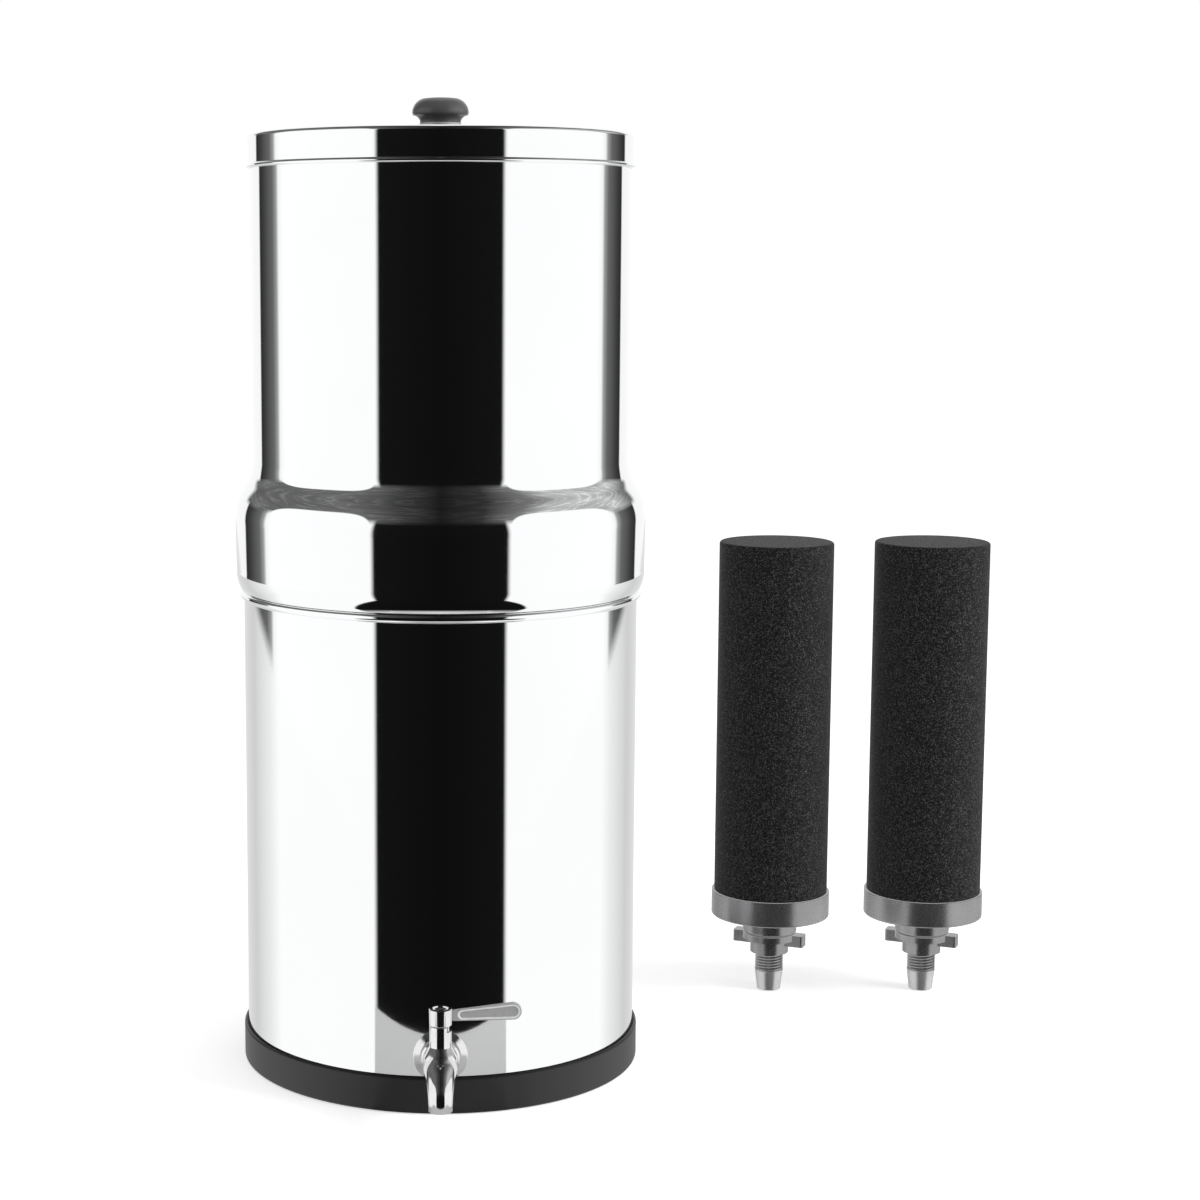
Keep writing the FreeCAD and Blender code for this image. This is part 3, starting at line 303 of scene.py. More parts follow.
class Graph:
    """Adds nodes to a node tree and links them."""

    def __init__(self, tree):
        self.tree = tree

    def give(self, socket, given):
        """Links a socket, or sets it to a constant."""
        if isinstance(given, bpy.types.NodeSocket):
            self.tree.links.new(given, socket)
        elif given is not None:
            socket.default_value = given

    def node(self, kind, settings=None, **sockets):
        made = self.tree.nodes.new("ShaderNode" + kind)
        for key, setting in (settings or {}).items():
            setattr(made, key, setting)
        for key, given in sockets.items():
            self.give(made.inputs[key.replace("_", " ")], given)
        return made

    def sum(self, operation, first, second=None):
        """One step of arithmetic on one or two values."""
        made = self.node("Math", {"operation": operation})
        self.give(made.inputs[0], first)
        self.give(made.inputs[1], second)
        return made.outputs[0]

    def blend(self, kind, fac, first, second):
        made = self.node("Mix", {"data_type": "RGBA", "blend_type": kind})
        for place, given in ((0, fac), (6, first), (7, second)):
            self.give(made.inputs[place], given)
        return made.outputs[2]

    def noise(self, scale, detail, coords, roughness=0.55):
        made = self.node("TexNoise", Scale=scale, Detail=detail, Roughness=roughness, Vector=coords)
        return made.outputs["Fac"]

    def ramp(self, fac, stops):
        """A shade for each place, blended in between."""
        made = self.node("ValToRGB", Fac=fac)
        places = made.color_ramp.elements
        while len(places) < len(stops):
            places.new(0.5)
        for place, (at, shade) in zip(places, stops):
            place.position = at
            place.color = (*shade[:3], 1) if isinstance(shade, tuple) else (shade, shade, shade, 1)
        return made.outputs["Color"]

    def range(self, fac, low, high, start=0.0, end=1.0):
        """Low up to start, high from end on, and a straight line between."""
        made = self.node("MapRange", Value=fac)
        for key, given in (("From Min", start), ("From Max", end), ("To Min", low), ("To Max", high)):
            self.give(made.inputs[key], given)
        return made.outputs["Result"]


class Shader(Graph):
    """A material's graph, with its Principled node and its Object coordinates."""

    def __init__(self, name):
        self.material = bpy.data.materials.new(name)
        self.material.use_nodes = True
        super().__init__(self.material.node_tree)
        self.bsdf = self.tree.nodes["Principled BSDF"]
        self.coords = self.tree.nodes.new("ShaderNodeTexCoord").outputs["Object"]

    def grain(self, scale, detail=4.0, roughness=0.55, stretch=(1, 1, 1)):
        """Noise in the object's own coordinates, stretched as asked."""
        spots = self.node("Mapping", Scale=stretch, Vector=self.coords).outputs["Vector"]
        return self.noise(scale, detail, spots, roughness)

    def set(self, **sockets):
        for key, given in sockets.items():
            self.give(self.bsdf.inputs[key.replace("_", " ")], given)

    def bump(self, height, distance, strength=1.0):
        """Raises the surface by the distance where the height is 1."""
        made = self.node("Bump", Height=height, Strength=strength, Distance=distance)
        self.tree.links.new(made.outputs["Normal"], self.bsdf.inputs["Normal"])


def tinted(shade, factor):
    """A colour made lighter or darker by a factor, held at white."""
    return tuple(min(part * factor, 1.0) for part in shade[:3])


def steel_finish(name, colour_name, tones, haze, gloss, rough, waves, bump, metal=1.0):
    """Steel: haze varies its tone between two factors, a finer grain its roughness between
    two limits, and waves raise it by a height in millimetres."""
    shader = Shader(name)
    low, high = (tinted(getattr(finish(), colour_name), tone) for tone in tones)
    shader.set(Metallic=metal,
               Base_Color=shader.ramp(shader.grain(*haze), [(0.3, low), (0.7, high)]),
               Roughness=shader.range(shader.grain(*gloss), *rough, 0.3, 0.7))
    shader.bump(shader.grain(*waves), bump[0] * MM, bump[1])
    return shader.material


def moulding_finish(name, colour_name, rough, grain_scale, grain, sheen=0.0, metal=0.0):
    """Moulded plastic or rubber: fine grain, slight variation of tone and gloss."""
    shader = Shader(name)
    shade = getattr(finish(), colour_name)
    fine = shader.grain(grain_scale, 3.0)
    shader.set(Base_Color=shader.ramp(shader.grain(35.0), [(0.3, tinted(shade, 0.86)),
                                                           (0.72, tinted(shade, 1.1))]),
               Roughness=shader.range(fine, rough - 0.05, rough + 0.07, 0.3, 0.7),
               Sheen_Weight=sheen, Sheen_Roughness=0.5, Metallic=metal)
    shader.bump(fine, grain * MM, 0.6)
    return shader.material


def carbon_block():
    """Sintered carbon: black grain of two sizes, and sparse bright specks in its colour that are painted
    glints.
    """
    shader = Shader("carbon block")
    carbon = finish().carbon
    coarse = shader.grain(1200.0, 6.0, 0.7)
    cells = shader.node("TexVoronoi", {"feature": "F1"}, Scale=2300.0, Vector=shader.coords)
    # Painted glints: sparse bright specks added to the base colour.
    painted_glint = shader.ramp(cells.outputs["Color"], [(0.0, 0.0), (0.62, 0.0), (0.95, 0.10)])
    base = shader.ramp(coarse, [(0.32, tinted(carbon, 0.4)), (0.55, tinted(carbon, 1.0)),
                                (0.75, tinted(carbon, 2.6))])
    shader.set(Base_Color=shader.blend("ADD", 1.0, base, painted_glint),
               Roughness=shader.range(coarse, 0.42, 0.75, 0.3, 0.7), Specular_IOR_Level=0.12)
    shader.bump(coarse, 0.25 * MM, 0.8)
    return shader.material


# Each steel: name, colour, factors of its tone, grain of its haze, grain and limits of its
# roughness, grain of its waves and their height and strength, and how metallic it is. A
# grain is a scale, a detail, a roughness and its stretch along X, Y and Z.
BLASTED = ((0.9, 1.05), (260.0, 4.0), (2400.0,), (0.34, 0.46), (2400.0, 3.0), (0.004, 0.5), 0.3)
MARKS = (1800.0, 2.0, 0.55, (0.2, 0.2, 4))
STEELS = {
    "polished_steel": ("polished steel", "steel", (0.98, 1.0), (9.0, 3.0),
                       (60.0, 5.0, 0.55, (1, 1, 12)), (0.03, 0.05), (7.0, 1.0), (0.02, 0.5)),
    "tap_steel": ("polished casting", "cast", (0.93, 1.0), (120.0, 3.0), (900.0,), (0.07, 0.14),
                  (160.0, 2.0), (0.015, 0.6)),
    "fastener_steel": ("turned steel", "cast", (0.85, 0.85), MARKS, MARKS, (0.2, 0.34), MARKS,
                       (0.004, 0.6)),
    "lever_steel": ("satin casting", "satin", *BLASTED),
    # The rim is the lever's satin casting with a much lighter colour, a painted highlight.
    "lever_rim": ("bright rim", "rim", *BLASTED),
}
# Each moulding: its name, its colour, its roughness, the scale of its grain and the grain's
# depth in millimetres; then sheen and metal where it has them.
MOULDINGS = {
    "base_rubber": ("base rubber", "rubber", 0.42, 2600.0, 0.012, 0.02),
    "knob_plastic": ("knob plastic", "knob", 0.35, 3200.0, 0.01),
    "seal_rubber": ("silicone", "silicone", 0.5, 1500.0, 0.01),
    "seat_plastic": ("white seats", "seat", 0.4, 1500.0, 0.005),
    "element_plastic": ("element moulding", "plastic", 0.25, 3000.0, 0.0015, 0.0, 0.85),
    "spigot_plastic": ("spigot moulding", "spigot", 0.3, 3000.0, 0.006, 0.0, 0.7),
}
materials = {}


def material(key):
    """Each finish is made once."""
    if key not in materials:
        if key in STEELS:
            materials[key] = steel_finish(*STEELS[key])
        elif key in MOULDINGS:
            materials[key] = moulding_finish(*MOULDINGS[key])
        else:
            materials[key] = carbon_block()
    return materials[key]


def dress(node, key):
    """Gives a CAD node's object one of the finishes."""
    mesh = frame["nodes"][node].data
    mesh.materials.clear()
    mesh.materials.append(material(key))


class FILTER_OT_stage(Operator):
    """Pale floor, white surroundings, soft lamps and the camera"""
    bl_idname = "filter.stage"
    bl_label = "Stage"

    card_near = 0.1293
    card_sweep = 0.043
    card_edge = 35.2
    front_edge = 38.0
    lens = 73.73
    place = (0.0, -1.3442, 0.4435)
    pitch = 7.98
    axis_column = 440.5
    row_shift = 1.5
    frame_width = 1200
    lamps = (("lamp_left", (-1.5, -1.0, 2.0), 1.6, 4.0), ("lamp_right", (1.9, -0.5, 1.3), 1.0, 36.0))
    lamp_aim = (0.05, 0.0, 0.25)

    # Shades over the turn from the front, 0, to the back, 1: a dark front, white panels and
    # dark curtains; and the same below the curtains' lower edge.
    curtains = ((0.0, 0.004), (0.203, 0.006), (0.216, 0.98), (0.60, 1.0), (0.628, 0.9),
                (0.642, 0.33), (0.668, 0.13), (0.73, 0.05), (0.772, 0.02), (0.779, 0.9),
                (1.0, 0.92))
    below = ((0.0, 0.004), (0.203, 0.006), (0.216, 0.98), (0.60, 0.98), (0.66, 0.82),
             (0.78, 0.6), (1.0, 0.75))
    # Shades of the ceiling from left to right, and the streaks that they are multiplied by.
    ceiling = ((0.0, 0.12), (0.14, 0.16), (0.34, 0.05), (0.5, 0.011), (0.68, 0.035),
               (0.82, 0.20), (0.90, 0.60), (1.0, 0.40))
    streaks = ((0.3, 0.75), (0.50, 0.88), (0.55, 1.4), (0.60, 0.82), (0.75, 1.05))
    curtain_turn = 0.633
    window_turn = 0.4245
    window_width = 0.2085
    window_top = 0.61

    def execute(self, context):
        self.add_floor()
        self.add_surroundings(context.scene)
        self.add_lamps()
        self.add_camera(context.scene)
        context.scene.view_settings.view_transform = "Standard"
        return {"FINISHED"}

    def plate(self, name, spots, level):
        """A flat face through the given points of the ground plan."""
        mesh = bpy.data.meshes.new(name)
        mesh.from_pydata([(x, y, level) for x, y in spots], [], [tuple(range(len(spots)))])
        item = add_object(name, mesh)
        return item

    def add_floor(self):
        """A wide floor that the camera sees, and in front a pale card that only reflections
        see. A ray that leaves the chamber's wall at a turn t from the front meets its rim
        after near + sweep * (t / edge)^2, and its sides run along the dark front's edges."""
        floor = self.plate("floor", [(-30, -30), (30, -30), (30, 30), (-30, 30)], -0.0003)
        floor.visible_glossy = False
        shader = Shader("pale floor")
        rays = shader.node("LightPath").outputs["Is Camera Ray"]
        shader.set(Base_Color=(0.80, 0.80, 0.80, 1), Roughness=0.9, Specular_IOR_Level=0.0,
                   Emission_Color=(1, 1, 1, 1), Emission_Strength=shader.range(rays, 0.0, 0.52))
        floor.data.materials.append(shader.material)

        turn = np.radians(np.linspace(-self.front_edge, self.front_edge, 32))
        reach = self.card_near + self.card_sweep * (turn / math.radians(self.card_edge)) ** 2
        wall = vessel().lower_radius * np.stack([np.sin(turn / 2), -np.cos(turn / 2)], 1)
        rim = wall + reach[:, None] * np.stack([np.sin(turn), -np.cos(turn)], 1)
        card = self.plate("floor_card", wall[::-1].tolist() + rim.tolist(), -0.0002)
        card.visible_camera = card.visible_diffuse = card.visible_shadow = False
        shader = Shader("pale card")
        shader.set(Base_Color=(0.62, 0.62, 0.62, 1), Roughness=0.9, Specular_IOR_Level=0.0)
        card.data.materials.append(shader.material)

    def add_surroundings(self, scene):
        """White to the camera and as plain light. Reflections see a studio: a dark front
        between white panels, a dark curtain behind either side that ends above the floor,
        white straight below, and a dim ceiling with wavy streaks. The shade depends on the
        angle round the vessel, atan2(|x|, -y) / pi, which is 0 in front and 1 behind, and on
        the height z."""
        world = bpy.data.worlds.new("studio")
        scene.world = world
        world.use_nodes = True
        world.node_tree.nodes.clear()
        graph = Graph(world.node_tree)
        direction = graph.node("TexCoord").outputs["Generated"]
        parts = graph.node("SeparateXYZ", Vector=direction)
        front = graph.sum("MULTIPLY", parts.outputs["Y"], -1.0)
        side = graph.sum("ABSOLUTE", parts.outputs["X"])
        turn = graph.sum("DIVIDE", graph.sum("ARCTAN2", side, front), math.pi)
        height = parts.outputs["Z"]

        spread = graph.range(height, 0.15, 0.0, -0.77, -0.42)
        turn_low = graph.sum("SUBTRACT", turn, spread)
        slant = graph.sum("MULTIPLY", graph.sum("SUBTRACT", turn, self.curtain_turn), 0.2)
        lean = graph.sum("SUBTRACT", height, slant)
        shade = graph.blend("MIX", graph.range(lean, 0.0, 1.0, -0.168, -0.158),
                            graph.ramp(turn_low, self.below), graph.ramp(turn_low, self.curtains))

        roof = self.add_roof(graph, turn, height)
        stretch = graph.node("Mapping", Scale=(1.0, 1.0, 9.0), Vector=direction).outputs["Vector"]
        streaks = graph.ramp(graph.noise(2.4, 2.0, stretch), self.streaks)
        dim = graph.ramp(graph.range(parts.outputs["X"], 0.0, 1.0, -1.0, 1.0), self.ceiling)
        shade = graph.blend("MIX", roof, shade, graph.blend("MULTIPLY", 1.0, dim, streaks))
        straight_down = graph.range(height, 1.0, 0.0, -0.92, -0.80)
        shade = graph.blend("MIX", straight_down, shade, (0.95, 0.95, 0.95, 1))

        rays = graph.node("LightPath")
        shine = graph.node("Background", Color=shade, Strength=1.14)
        strength = graph.range(rays.outputs["Is Camera Ray"], 0.66, 1.0)
        plain = graph.node("Background", Color=(1, 1, 1, 1), Strength=strength)
        chosen = graph.node("MixShader")
        for place, given in enumerate((rays.outputs["Is Glossy Ray"], plain.outputs[0], shine.outputs[0])):
            graph.give(chosen.inputs[place], given)
        graph.give(graph.node("OutputWorld").inputs[0], chosen.outputs[0])

    def add_roof(self, graph, turn, height):
        """Where the ceiling is: 0 in a white window and 1 above it. A window's edge is the
        curve rise^3 + across^4 = 1, in which rise is the height over the cosine of half the
        turn, as a share of the window's top, and across the turn from its middle."""
        fall = graph.sum("COSINE", graph.sum("MULTIPLY", turn, math.pi / 2))
        fall = graph.sum("MAXIMUM", fall, 0.25)
        rise = graph.sum("DIVIDE", graph.sum("DIVIDE", height, fall), self.window_top)
        rise = graph.sum("MAXIMUM", rise, 0.0)
        across = graph.sum("SUBTRACT", turn, self.window_turn)
        across = graph.sum("ABSOLUTE", graph.sum("DIVIDE", across, self.window_width))
        corner = graph.sum("MINIMUM", graph.sum("POWER", across, 4.0), 1.0)
        window = graph.sum("ADD", graph.sum("POWER", rise, 3.0), corner)
        roof = graph.sum("MULTIPLY", graph.range(window, 0.0, 1.0, 0.96, 1.06),
                         graph.range(rise, 0.0, 1.0, 0.50, 0.75))
        return graph.sum("MULTIPLY", roof, graph.range(turn, 1.0, 0.0, 0.79, 0.82))

    def add_lamps(self):
        """Two large soft lamps, above at either side."""
        for name, spot, size, power in self.lamps:
            data = bpy.data.lights.new(name, "AREA")
            data.energy, data.size = power, size
            lamp = add_object(name, data)
            lamp.location = spot
            to_vessel = mathutils.Vector(self.lamp_aim) - mathutils.Vector(spot)
            lamp.rotation_euler = to_vessel.to_track_quat("-Z", "Y").to_euler()
            lamp.visible_glossy = False

    def add_camera(self, scene):
        """A long lens a little above the lid, shifted so that the vessel stands left."""
        data = bpy.data.cameras.new("camera")
        data.lens, data.sensor_width = self.lens, 36.0
        data.shift_x = (self.frame_width / 2 - self.axis_column) / self.frame_width
        data.shift_y = self.row_shift / self.frame_width
        camera = add_object("camera", data)
        camera.location = self.place
        camera.rotation_euler = (math.radians(90 - self.pitch), 0, 0)
        scene.camera = camera


class FILTER_OT_base(Operator):
    """Rubber base with rounded edges"""
    bl_idname = "filter.base"
    bl_label = "Base"

    base_edge, base_gap, lip = 1.4 * MM, 0.2 * MM, 0.4 * MM

    def execute(self, context):
        sizes = vessel()
        _, radius, low, high = cylinder_box("base_ring")
        inner = sizes.lower_radius + self.base_gap
        edge = self.base_edge
        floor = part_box("lower_chamber")[0][2]
        outline = rounded([(0, low), (radius, low, edge), (radius, high, edge), (inner, high, self.lip),
                           (inner, floor), (0, floor)])
        finish_piece("base_ring_rubber", [turned(outline, sizes.segments)], "vessel",
                     "base_rubber", ["base_ring"])
        return {"FINISHED"}


class FILTER_OT_lower_chamber(Operator):
    """Lower chamber with its rolled rim"""
    bl_idname = "filter.lower_chamber"
    bl_label = "Lower Chamber"

    lower_corner, lower_bead, lip = 6.0 * MM, 2.3 * MM, 0.8 * MM

    def execute(self, context):
        sizes = vessel()
        _, _, low, high = cylinder_box("lower_chamber")
        wall, bead, corner = sizes.wall, self.lower_bead, self.lower_corner
        outside, inside = sizes.lower_radius, sizes.lower_radius - wall
        foot = rounded([(0, low), (outside, low, corner), (outside, high - 3 * bead)])
        rim = rolled_edge(outside, high, bead, self.lip, 1, 20)
        tuck = rounded([(inside, high), (inside, high - 0.5 * bead), (inside, low + wall, corner - wall),
                        (0, low + wall)])
        outline = np.concatenate([foot, rim, tuck])
        finish_piece("lower_chamber_shell", [turned(outline, sizes.segments)], "vessel",
                     "polished_steel", ["lower_chamber"])
        return {"FINISHED"}


class FILTER_OT_upper_chamber(Operator):
    """Upper chamber: nested pan, bulge, S-shaped shoulder and curled rim"""
    bl_idname = "filter.upper_chamber"
    bl_label = "Upper Chamber"

    # The fold swings out and up into the bulge's foot. The curl is the rim's rounding, and its
    # start is where the straight wall below it begins.
    fold_out, fold_up = 0.6 * MM, 1.04 * MM
    pan_corner, foot_height, foot_curve, shoulder_hollow = 6.0 * MM, 11.5 * MM, 20.0 * MM, 24.0 * MM
    curl, curl_width, curl_height, curl_start = 1.4 * MM, 3.4 * MM, 3.2 * MM, 12.0 * MM

    def shoulder(self, seat, inset):
        """Two arcs that turn by the same angle: the round one leaves the bulge's wall, the
        hollow one ends in the upper wall. Inset moves them in by the sheet's thickness."""
        sizes = vessel()
        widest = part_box("upper_chamber")[1][0]
        step, height = widest - sizes.upper_radius, sizes.shoulder_height
        total = (step ** 2 + height ** 2) / (2 * step)
        hollow = self.shoulder_hollow
        lean = math.degrees(math.asin(height / total))
        low, high = seat + sizes.bulge_height, seat + sizes.bulge_height + height
        round_part = arc((widest - total + hollow, low), total - hollow - inset, 0, lean, 18)
        hollow_part = arc((sizes.upper_radius + hollow, high), hollow + inset, 180 + lean, 180, 16)
        return np.concatenate([round_part, hollow_part[1:]])

    def foot(self, seat, inset):
        """Rounding from the fold up into the bulge. At the fold the sheet slopes, so that its
        inner side lies 0.6 of its thickness further in and 0.5 higher."""
        sizes = vessel()
        start = (sizes.pan_radius + sizes.fold + self.fold_out - inset * 0.6,
                 seat + self.fold_up + inset * 0.5)
        end = (sizes.foot_radius - inset, seat + self.foot_height)
        return bow(start, end, self.foot_curve, -1, 14)

    def execute(self, context):
        sizes = vessel()
        _, _, floor, top = cylinder_box("upper_chamber")
        top -= sizes.rim_drop
        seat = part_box("lower_chamber")[1][2]
        wall, corner = sizes.wall, self.pan_corner
        pan, upper = sizes.pan_radius, sizes.upper_radius
        fold = pan + sizes.fold
        bottom = rounded([(0, floor), (pan, floor, corner), (pan, seat, 0.5 * MM),
                          (fold, seat, 0.8 * MM), (fold + 0.5 * MM, seat + 0.9 * MM)])
        curl, inside = self.curl, upper - self.curl_width
        curl_end, curl_start = top - self.curl_height, top - self.curl_start
        rim = rounded([(upper, curl_start), (upper, top, curl), (inside, top, curl),
                       (inside, curl_end, 0.6 * MM), (upper - wall, curl_end, 0.4 * MM),
                       (upper - wall, curl_start)])
        inner = rounded([(fold - 0.1 * MM, seat + wall), (pan - wall, seat + wall, EDGE),
                         (pan - wall, floor + wall, corner - wall), (0, floor + wall)])
        outline = np.concatenate([bottom, self.foot(seat, 0)[1:], self.shoulder(seat, 0), rim,
                                  self.shoulder(seat, wall)[::-1], self.foot(seat, wall)[::-1], inner])
        finish_piece("upper_chamber_shell", [turned(outline, sizes.segments)], "upper",
                     "polished_steel", ["upper_chamber"])
        return {"FINISHED"}


class FILTER_OT_lid(Operator):
    """Lid with a rolled edge and a domed middle, flat under the knob"""
    bl_idname = "filter.lid"
    bl_label = "Lid"

    lid_corner, lid_bead, lid_seat, lip = 2.4 * MM, 1.1 * MM, 12.0 * MM, 0.4 * MM

    def dome(self, level):
        """Half outline of the middle, from the axis outwards: flat, then an arc that falls by
        the rise, of radius (run^2 + rise^2) / (2 * rise)."""
        sizes = vessel()
        run, rise = sizes.lid_dome - self.lid_seat, sizes.lid_rise
        sweep = (run ** 2 + rise ** 2) / (2 * rise)
        fall = bow((self.lid_seat, level + rise), (sizes.lid_dome, level), sweep, 1, 24)
        return np.concatenate([[(0, level + rise)], fall])

    def execute(self, context):
        sizes = vessel()
        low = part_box("lid")[0][2]
        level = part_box("upper_chamber")[1][2] - sizes.rim_drop
        wall, corner, bead, skirt = sizes.wall, self.lid_corner, self.lid_bead, sizes.lid_radius
        border = sizes.lid_dome + MM
        edge = rounded([(border, level + wall), (skirt, level + wall, corner), (skirt, low + 3 * bead)])
        roll = rolled_edge(skirt, low, bead, self.lip, -1, 16)
        under = rounded([(skirt - wall, low), (skirt - wall, level, corner - wall), (border, level)])
        outline = np.concatenate([self.dome(level + wall), edge, roll, under, self.dome(level)[::-1]])
        finish_piece("lid_shell", [turned(outline, sizes.segments)], "lid", "polished_steel", ["lid"])
        return {"FINISHED"}


class FILTER_OT_knob(Operator):
    """Mushroom knob and the bright disc under it"""
    bl_idname = "filter.knob"
    bl_label = "Knob"

    def execute(self, context):
        sizes = vessel()
        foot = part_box("knob")[0][2] + sizes.knob_lift

        def at(radius, height):
            """A point of the outline, from millimetres above the knob's foot."""
            return (radius * MM, foot + height * MM)

        outline = np.concatenate([
            rounded([at(0, 0), at(11, 0) + (0.2 * MM,), at(11, 0.9)], hold=FINE_HOLD),
            bow(at(11, 0.9), at(14.7, 4.05), 4.6 * MM, 1),
            bow(at(14.7, 4.05), at(15.2, 5.85), 2.7 * MM, -1),
            bow(at(15.2, 5.85), at(9.5, 12.75), 8.0 * MM, -1, 20),
            bow(at(9.5, 12.75), at(0, 13.4), 69.7 * MM, -1, 8)])
        finish_piece("knob_moulding", [turned(outline, 128)], "lid", "knob_plastic", ["knob"])
        radius = cylinder_box("knob_disc")[1]
        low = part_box("upper_chamber")[1][2] - sizes.rim_drop + sizes.wall + sizes.lid_rise
        outline = rounded([(0, low), (radius, low, EDGE), (radius, foot, EDGE), (0, foot)])
        finish_piece("knob_disc_steel", [turned(outline)], "lid", "fastener_steel", ["knob_disc"],
                     ["lever_steel"])
        return {"FINISHED"}


class FILTER_OT_tap_flange(Operator):
    """Flange of the tap on the chamber's wall"""
    bl_idname = "filter.tap_flange"
    bl_label = "Tap Flange"

    flange_hole, flange_edge = 8.2 * MM, 0.9 * MM

    def execute(self, context):
        sizes = tap()
        low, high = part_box("tap_flange")
        radius, back, front = (high[0] - low[0]) / 2, -high[1], -low[1]
        collar = sizes.collar_radius
        hole, edge = self.flange_hole, back + self.flange_edge
        outline = rounded([(hole, back), (radius, back, EDGE), (radius, edge, 0.4 * MM),
                           (collar + 0.6 * MM, front, 0.5 * MM), (hole, front)])
        outline = np.concatenate([outline, outline[:1]])
        finish_piece("tap_flange_cone", [turned(outline, 128, (0, 0, sizes.height), "Y")],
                     "vessel", "tap_steel", ["tap_flange"])
        return {"FINISHED"}


class FILTER_OT_tap_body(Operator):
    """Tap body: shank, collar, barrel and the bent, tapered spout with its bore"""
    bl_idname = "filter.tap_body"
    bl_label = "Tap Body"

    # The notch's ends are angles in degrees; the housing's heights count from the tap's axis.
    notch = (-55.0, 65.0)
    taper = 1.3
    shank_radius, shank_bore, passage, chamber_reach = 8.0 * MM, 6.5 * MM, 3.9 * MM, 3.5 * MM
    collar_width, collar_slope, outlet_depth, spout_drop = 2.0 * MM, 1.4 * MM, 6.0 * MM, 1.0 * MM
    stem_bore, housing_radius, housing_top, housing_slope = 3.1 * MM, 8.7 * MM, 6.0 * MM, 11.5 * MM

    def spout_path(self, place, drop):
        """Middle and direction of the spout after a length along it: straight forward, then
        round a quarter circle, then straight down. Returned in the plane x = 0."""
        sizes = tap()
        turn = np.clip((place - sizes.bend_place) / sizes.bend_radius, 0, math.pi / 2)
        down = np.clip(place - sizes.bend_place - sizes.bend_radius * math.pi / 2, 0, drop)
        flat = np.minimum(place, sizes.bend_place)
        forward = flat + sizes.bend_radius * np.sin(turn)
        level = sizes.height - sizes.bend_radius * (1 - np.cos(turn)) - down
        return forward, level, turn

    def tube(self, place, radius, drop):
        """Rings of the given radii set square to the spout's path."""
        forward, level, turn = self.spout_path(place, drop)
        angle = np.linspace(0, TAU, 96, endpoint=False)
        side = radius[:, None] * np.cos(angle)
        rise = radius[:, None] * np.sin(angle)
        along = -(forward[:, None] + rise * np.sin(turn)[:, None])
        height = level[:, None] + rise * np.cos(turn)[:, None]
        return np.stack([side, along, height], -1)

    def barrel(self, top):
        """Upright barrel on its round housing. Its outline dips to the notch's floor over the
        angles in which the lever's lug runs."""
        sizes = tap()
        radius, low, wall = sizes.barrel_radius, sizes.height, self.housing_radius
        bore, inner, floor = self.stem_bore, sizes.notch_inner, top - sizes.notch_depth
        shelf, slope = low + self.housing_top, low + self.housing_slope
        plain = [(bore, low - MM), (bore, top), (inner, top), (inner, top), (radius - EDGE, top),
                 (radius, top - EDGE), (radius, floor), (radius, floor - 0.2 * MM),
                 (radius, slope + 0.2 * MM), (radius + 0.1 * MM, slope),
                 (radius + EDGE, slope - 0.2 * MM), (wall - 0.2 * MM, shelf + 0.4 * MM),
                 (wall, shelf), (wall, low - MM)]
        cut = plain[:3] + [(inner, floor), (radius - EDGE, floor), (radius, floor)] + plain[6:]
        start, end = self.notch
        whole = spun(plain, np.radians(np.linspace(end + 0.1, start + 359.9, 72)))
        notched = spun(cut, np.radians(np.linspace(start, end, 40)))
        points = np.concatenate([whole, notched], 1) + np.array([0, -sizes.barrel_place, 0])
        return grid_mesh(points, True)

    def execute(self, context):
        sizes = tap()
        front = -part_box("tap_flange")[0][1]
        back = -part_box("tap_body")[1][1]
        bend, end = sizes.bend_place, sizes.bend_place + sizes.bend_radius * math.pi / 2
        mouth = end + self.spout_drop
        collar, body, shank = sizes.collar_radius, sizes.body_radius, self.shank_radius
        collar_end = front + self.collar_width
        outside = rounded([(back, self.shank_bore), (back, shank, EDGE), (front, shank, 0.2 * MM),
                           (front, collar, EDGE), (collar_end, collar, 0.8 * MM),
                           (collar_end + self.collar_slope, body, 2 * MM), (bend - 2 * MM, body)])
        share = np.linspace(0, 1, 28)[1:]
        radius, narrow = sizes.spout_radius, self.passage
        spout = np.stack([bend + (mouth - 0.8 * MM - bend) * share,
                          radius + (body - radius) * (1 - share) ** self.taper], 1)
        outlet, outlet_end = sizes.outlet_radius, mouth - self.outlet_depth
        lip = rounded([(mouth - 0.9 * MM, radius), (mouth, radius, 0.6 * MM), (mouth, outlet, 0.4 * MM),
                       (outlet_end, outlet), (outlet_end, narrow)], hold=FINE_HOLD)
        passage = np.linspace((outlet_end - EDGE, narrow), (bend, narrow), 14)[:-1]
        reach = bend + self.chamber_reach
        chamber = np.array([(reach, narrow), (reach, self.shank_bore)])
        path = np.concatenate([outside, spout, lip[1:], passage, chamber])
        skin = grid_mesh(self.tube(path[:, 0], path[:, 1], self.spout_drop), True)
        barrel = self.barrel(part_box("tap_body")[1][2])
        finish_piece("tap_body_casting", [skin, barrel], "vessel", "tap_steel", ["tap_body"])
        return {"FINISHED"}


